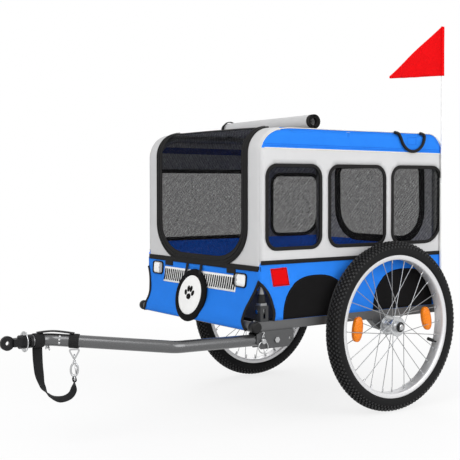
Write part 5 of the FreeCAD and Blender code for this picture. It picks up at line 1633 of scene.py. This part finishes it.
strap = {"width": 0.025, "thick": 0.0022, "barRadius": 0.016, "hoopOut": 0.0015, "runOut": 0.0034,
         "runWide": 0.020, "eye": 0.0046, "eyeRise": 0.0045, "collarX": 1.0135, "anchorZ": 0.2555,
         "keep": 0.25,
         "route": [(0.0, 0.1645), (-0.0015, 0.1490), (0.0095, 0.1250), (0.0420, 0.1165), (0.0765, 0.1400),
                   (0.0915, 0.195), (0.0925, 0.2535)],
         "twist": [(0.0, 0), (0.10, -34), (0.28, -26), (0.42, -4), (0.56, 36), (0.74, 68), (1.0, 86)]}
strapFoot = sum(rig.box("strap_ring"), Vector()) / 2 * Vector((1, 1, 0))
hitchSpot = Vector(joints["hitch_swivel"]["pos_m"])
collarSpot = Vector((station(strap["collarX"]), hitchSpot.y, hitchSpot.z))
strapWay = (collarSpot - strapFoot).to_2d().to_3d().normalized()
strapSide = Vector((-strapWay.y, strapWay.x, 0))
bendOne = Vector((station(0.715), 0.2795, 0.250))  # the drawbar's two bends
bendTwo = Vector((station(0.985), 0.100, 0.272))


def mixAt(share, table):
    for (a, low), (b, high) in zip(table, table[1:]):
        if share <= b:
            part = (share - a) / (b - a)
            return low + (high - low) * (3 - 2 * part) * part * part
    return table[-1][1]


def strapSoft(obj, slotName):
    return softWith(obj, "drawbar", "drawbar_fold", strap["anchorZ"], strap["keep"], slotName)


def hoop(name, spot, axis, radius, width):
    axis, aside, above = square3d(axis)
    section = [(b, a) for a, b in flatSection(width, strap["thick"])]
    return makeBar(name, ringAt(spot, aside, above, radius, 48), section, blackWebbing, closed=True, up=axis)


def makeStrap():
    points = nurbsLine([strapFoot + strapWay * run + Vector((0, 0, z)) for run, z in strap["route"]])
    length = sum((b - a).length for a, b in zip(points, points[1:]))
    section = flatSection(strap["width"], strap["thick"])
    verts, uvs = [], []
    for p, along, walked in walk(points, False):
        turn = math.radians(mixAt(walked / length, strap["twist"]))
        across = strapSide * math.cos(turn) + along.cross(strapSide).normalized() * math.sin(turn)
        above = along.cross(across).normalized()
        verts += [p + across * a + above * b for a, b in section]
        uvs += [(walked, a) for a, b in section]
    web = outward(addMesh("safetyStrap", verts, tubeFaces(len(points), len(section)), blackWebbing, uvs))
    eyeSpot = strapFoot + Vector((0, 0, strap["route"][0][1] + strap["eyeRise"]))
    eye = hoop("strapEye", eyeSpot, strapSide, strap["eye"], strap["width"] * 0.98)
    around = strap["barRadius"] + strap["hoopOut"]
    collar = hoop("strapCollar", collarSpot, (1, 0, 0), around, strap["width"])
    bandSpot = sum(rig.box("strap_band"), Vector()) / 2
    band = hoop("strapBand", bandSpot, bendTwo - bendOne, around, strap["width"])
    rise = Vector((0, 0, strap["barRadius"] + strap["runOut"]))
    topRoute = nurbsLine([bandSpot + rise, bandSpot.lerp(bendTwo, 0.5) + rise * 1.15,
                          bendTwo + rise * 1.12, collarSpot + rise])
    topRun = makeBar("strapTopRun", topRoute, flatSection(strap["runWide"], strap["thick"]), blackWebbing)
    for piece in (web, eye):
        strapSoft(piece, "black_webbing")
    for piece in (collar, band, topRun):
        rides(piece, "drawbar", "black_webbing")
    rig.replaces(web, "safety_strap")
    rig.replaces(band, "strap_band")
    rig.cord(web, exit=points[0], length=length, diameter=strap["width"], far_end="object", stiffness="limp",
            lay="hanging", path=points, with_pieces=[nodes["strap_ring"], makeHook(), eye])
    print("strap length", round(length, 3))


hook = {"eyeZ": 0.2262, "eyeWide": 0.0072, "wire": 0.0019, "barrelTop": 0.2185, "barrelLow": 0.2085,
        "bodyZ": 0.1935, "bodyWide": 0.0092, "bodyHigh": 0.0165, "bodyWire": 0.0027, "barZ": 0.1694,
        "barHigh": 0.0085, "barOver": 0.003, "barWire": 0.0020, "gateWire": 0.0021,
        "thumb": [(0.0, 0.0045), (0.0018, 0.004), (0.0022, 0.0), (0.0, -0.001)]}


def makeHook():  # swivel snap hook: eye, barrel, sprung body and a bar for the webbing
    def place(run, side, z):
        return strapFoot + strapWay * run + strapSide * side + Vector((0, 0, z))

    def wire(name, points, radius, up, closed=True, sides=10):
        return makeBar(name, points, circleSection(radius, sides), brightSteel, closed=closed, up=up)
    eyeWide, wide, high, bodyZ = hook["eyeWide"], hook["bodyWide"], hook["bodyHigh"], hook["bodyZ"]
    eye = [place(0, eyeWide * math.cos(a), hook["eyeZ"] + eyeWide * 0.9 * math.sin(a)) for a in turns(28)]
    body = [place(wide * math.cos(a), 0, bodyZ + high * math.sin(a)) for a in turns(28)]
    half, low = strap["width"] / 2 + hook["barOver"], hook["barZ"]
    barTop = low + hook["barHigh"]
    bar = [place(0, y, z) for y, z in ((-half, low), (half, low), (half, barTop), (-half, barTop))]
    gate = [place(-wide * 0.55, 0, bodyZ - 0.010), place(-wide * 0.2, 0, bodyZ + 0.011)]
    top, foot = hook["barrelTop"], hook["barrelLow"]
    barrel = [(0.0, top + 0.001), (0.003, top), (0.0042, top - 0.002), (0.0032, top - 0.0035),
              (0.0046, top - 0.005), (0.0046, foot + 0.001), (0.0030, foot), (0.0, foot - 0.001)]
    parts = [wire("eye", eye, hook["wire"], strapWay), wire("body", body, hook["bodyWire"], strapSide),
             wire("foot", bar, hook["barWire"], strapWay, sides=8),
             wire("gate", gate, hook["gateWire"], strapSide, closed=False),
             makeTurned("barrel", barrel, strapFoot, (0, 0, 1), brightSteel, sides=20),
             makeTurned("thumb", hook["thumb"], place(-wide * 0.4, 0, bodyZ), strapSide, brightSteel,
                        sides=12)]
    made = strapSoft(joined("snapHook", parts), "bright_steel")
    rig.replaces(made, "snap_hook")
    return made


hitchBits = {"rivetX": 0.960, "rivet": 0.0034, "rivetAt": (-22, 12, 46), "nutX": 0.987, "nut": 0.0052,
             "wing": 0.0042, "wingRoute": [(0.003, 0.003), (0.008, 0.0055), (0.0125, 0.0085)]}


def makeHitchBits():
    share = (station(hitchBits["rivetX"]) - bendOne.x) / (bendTwo.x - bendOne.x)
    middle = bendOne.lerp(bendTwo, share)
    along = (bendTwo - bendOne).normalized()
    side = Vector((-along.y, along.x, 0)).normalized()
    above = along.cross(side)
    r = hitchBits["rivet"]
    dome = [(0.0, r * 0.55), (r * 0.5, r * 0.48), (r * 0.85, r * 0.25), (r, -0.0004)]
    parts = []
    for angle in hitchBits["rivetAt"]:
        way = side * math.cos(math.radians(angle)) + above * math.sin(math.radians(angle))
        parts.append(makeTurned("rivet", dome, middle + way * strap["barRadius"], way, brightSteel, sides=18))
    r = hitchBits["nut"]
    top = Vector((station(hitchBits["nutX"]), hitchSpot.y, hitchSpot.z - strap["barRadius"]))
    nut = [(r * 0.9, 0.001), (r, -0.002), (r * 0.75, -0.006), (0.0, -0.0075)]
    parts.append(makeTurned("nut", nut, top, (0, 0, 1), brightSteel, sides=20))
    section = [(a * 0.9, b * 0.35) for a, b in circleSection(hitchBits["wing"])]
    for way in (1, -1):
        wing = [top + Vector((0, way * run, -z)) for run, z in hitchBits["wingRoute"]]
        parts.append(makeBar("wing", wing, section, brightSteel, up=xWay))
    rides(joined("hitchHardware", parts), "drawbar", "bright_steel")


lanyard = {"from": (0.4490, 0.3005, 0.2650), "to": (0.4560, 0.3065, 0.2480), "link": 0.0062,
           "linkWide": 0.0021, "wire": 0.0009}


def makeLanyard():  # short chain from the bracket to the lock pin
    start, end = (Vector((station(x), y, z)) for x, y, z in (lanyard["from"], lanyard["to"]))
    wide, half = lanyard["linkWide"], lanyard["link"] / 2 * 0.95
    step = lanyard["link"] * 1.45
    rows = []
    flat = [Vector((wide * math.cos(a), 0, half * math.sin(a))) for a in turns(14)]
    upright = [Vector((0, p.x, p.z)) for p in flat]
    for oval, up, ahead in ((flat, yWay, 0.0), (upright, xWay, step / 2)):
        link = makeBar("link", oval, circleSection(lanyard["wire"], 6), brightSteel, closed=True, up=up)
        first = start + (end - start).normalized() * ahead
        rows.append(alongLines("links", [[first, end]], link, step, brightSteel))
        discard(link)
    chain = joined("pinLanyard", rows)
    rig.blend(chain, "chassis", "lock_pin", start=start, end=end)
    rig.slot(chain, "bright_steel")


makeStrap()
makeHitchBits()
makeLanyard()
print("strap and hitch bits made")


# plastic caps over the ends of the front cross tube
caps = {"long": 0.020, "wall": 0.0011}


def makeCaps():
    low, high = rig.box("front_cross_tube")
    middle, r = (low + high) / 2, (high.z - low.z) / 2
    outer, long = r + caps["wall"], caps["long"]
    section = [(r + 0.0002, -long), (outer, -long), (outer, -0.002), (r, 0.0012), (r * 0.55, 0.0020),
               (0.0, 0.0020)]
    parts = []
    for end, way in ((high.y, 1), (low.y, -1)):
        spot = Vector((middle.x, end, middle.z))
        parts.append(makeTurned("cap", section, spot, (0, way, 0), blackPlastic, sides=32))
    rides(joined("tubeCaps", parts), "chassis", "black_plastic")


makeCaps()


# finishes on the solids that stay

keptFinish = {
    framePaint: ["left_rail", "right_rail", "front_cross_tube", "rear_cross_tube", "mid_cross_tube",
                 "left_axle_foot", "right_axle_foot"],
    blackPlastic: ["tube_plugs", "left_ferrules", "right_ferrules", "hitch_fork", "hitch_eye", "left_valve",
                   "right_valve"],
    drawbarPaint: ["drawbar_tube"],
    bracketPaint: ["drawbar_bracket"],
    frameTube: ["left_side_frame", "right_side_frame"],
    knuckleSteel: ["left_knuckles", "right_knuckles"],
    alloy: ["left_hub", "right_hub"],
    spokeSteel: ["left_spokes", "right_spokes", "left_axle", "right_axle"],
    brightSteel: ["left_button", "right_button", "knuckle_bolts", "pivot_bolt", "lock_pin", "hitch_pin",
                  "strap_ring"],
    floorPanel: ["floor_board"],
    whitePole: ["flag_pole"],
}
for finish, names in keptFinish.items():
    for name in names:
        nodes[name].data.materials.clear()
        nodes[name].data.materials.append(finish)
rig.squash(nodes["strap_ring"], "drawbar_fold", axis=(0, 0, 1), anchor=(0, 0, strap["anchorZ"]),
          keep=strap["keep"])


# floor, light and camera

studio = {"floor": 0.86, "half": 12, "world": 0.60, "shadowKeep": 0.20, "fadeFrom": 0.7, "fadeTo": 1.7,
          "fadeX": 0.2,
          "lights": [("keyLight", (2.6, 1.2, 3.0), (-0.2, 0, 0.5), 2.4, 62),
                     ("fillLight", (-0.6, 3.4, 2.0), (-0.3, 0, 0.4), 2.6, 66),
                     ("backLight", (-2.6, -2.2, 2.4), (-0.3, 0, 0.5), 2.2, 36)]}


def seenRays(tree):
    rays = addNode(tree, "ShaderNodeLightPath").outputs
    seen = mathNode(tree, "MAXIMUM", rays["Is Camera Ray"], rays["Is Glossy Ray"])
    return mathNode(tree, "MAXIMUM", seen, rays["Is Transmission Ray"])


def mixOut(tree, output, fac, first, second):
    mix = addNode(tree, "ShaderNodeMixShader", {"Fac": fac, 1: first.outputs[0], 2: second.outputs[0]})
    feed(tree, tree.nodes[output], {"Surface": mix.outputs["Shader"]})


def aimed(obj, spot, way):
    obj.location = spot
    obj.rotation_euler = Vector(way).to_track_quat("-Z", "Y").to_euler()
    scene.collection.objects.link(obj)
    return obj


def makeStudio():
    mat, tree, bsdf = newFinish("studioFloor")
    feed(tree, bsdf, {"Base Color": (*[studio["floor"]] * 3, 1), "Roughness": 0.9})
    place = addNode(tree, "ShaderNodeTexCoord").outputs["Object"]
    sockets = {0: place, 1: (station(studio["fadeX"]), 0, 0)}
    gap = addNode(tree, "ShaderNodeVectorMath", sockets, operation="DISTANCE").outputs["Value"]
    fade = span(tree, gap, 1 - studio["shadowKeep"], 1.0, studio["fadeFrom"], studio["fadeTo"])
    glow = addNode(tree, "ShaderNodeEmission")
    mixOut(tree, "Material Output", mathNode(tree, "MULTIPLY", seenRays(tree), fade), bsdf, glow)
    h = studio["half"]
    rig.stage(addMesh("studioFloor", [(-h, -h, 0), (h, -h, 0), (h, h, 0), (-h, h, 0)], [(0, 1, 2, 3)], mat))
    world = bpy.data.worlds.new("studioWorld")
    world.use_nodes = True
    scene.world = world
    tree = world.node_tree
    lit = feed(tree, tree.nodes["Background"], {"Color": (1, 1, 1, 1), "Strength": studio["world"]})
    sky = addNode(tree, "ShaderNodeBackground", {"Color": (1, 1, 1, 1), "Strength": 1.0})
    mixOut(tree, "World Output", seenRays(tree), lit, sky)
    for name, spot, aim, size, power in studio["lights"]:  # lamps look from spot to aim
        lamp = bpy.data.lights.new(name, "AREA")
        lamp.energy = power
        lamp.size = size
        aimed(bpy.data.objects.new(name, lamp), spot, Vector(aim) - Vector(spot))


view = {"spot": (2.0087, 2.3495, 0.6695), "way": (-0.5766, -0.8156, -0.0245), "lens": 74.94, "sensor": 36.0,
        "shift": -0.0511}


def makeCamera():
    data = bpy.data.cameras.new("photoCamera")
    data.lens = view["lens"]
    data.sensor_width = view["sensor"]
    data.sensor_fit = "HORIZONTAL"
    data.shift_y = view["shift"]
    x, y, z = view["spot"]
    scene.camera = aimed(bpy.data.objects.new("photoCamera", data), (station(x), y, z), view["way"])


makeStudio()
makeCamera()
scene.view_settings.view_transform = "Standard"
visualBox = [list(corner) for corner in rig.bounds()]
with open("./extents.json", "w") as out:
    json.dump({"cad": cadBox, "visual": visualBox}, out)
print("boxes", cadBox, visualBox)
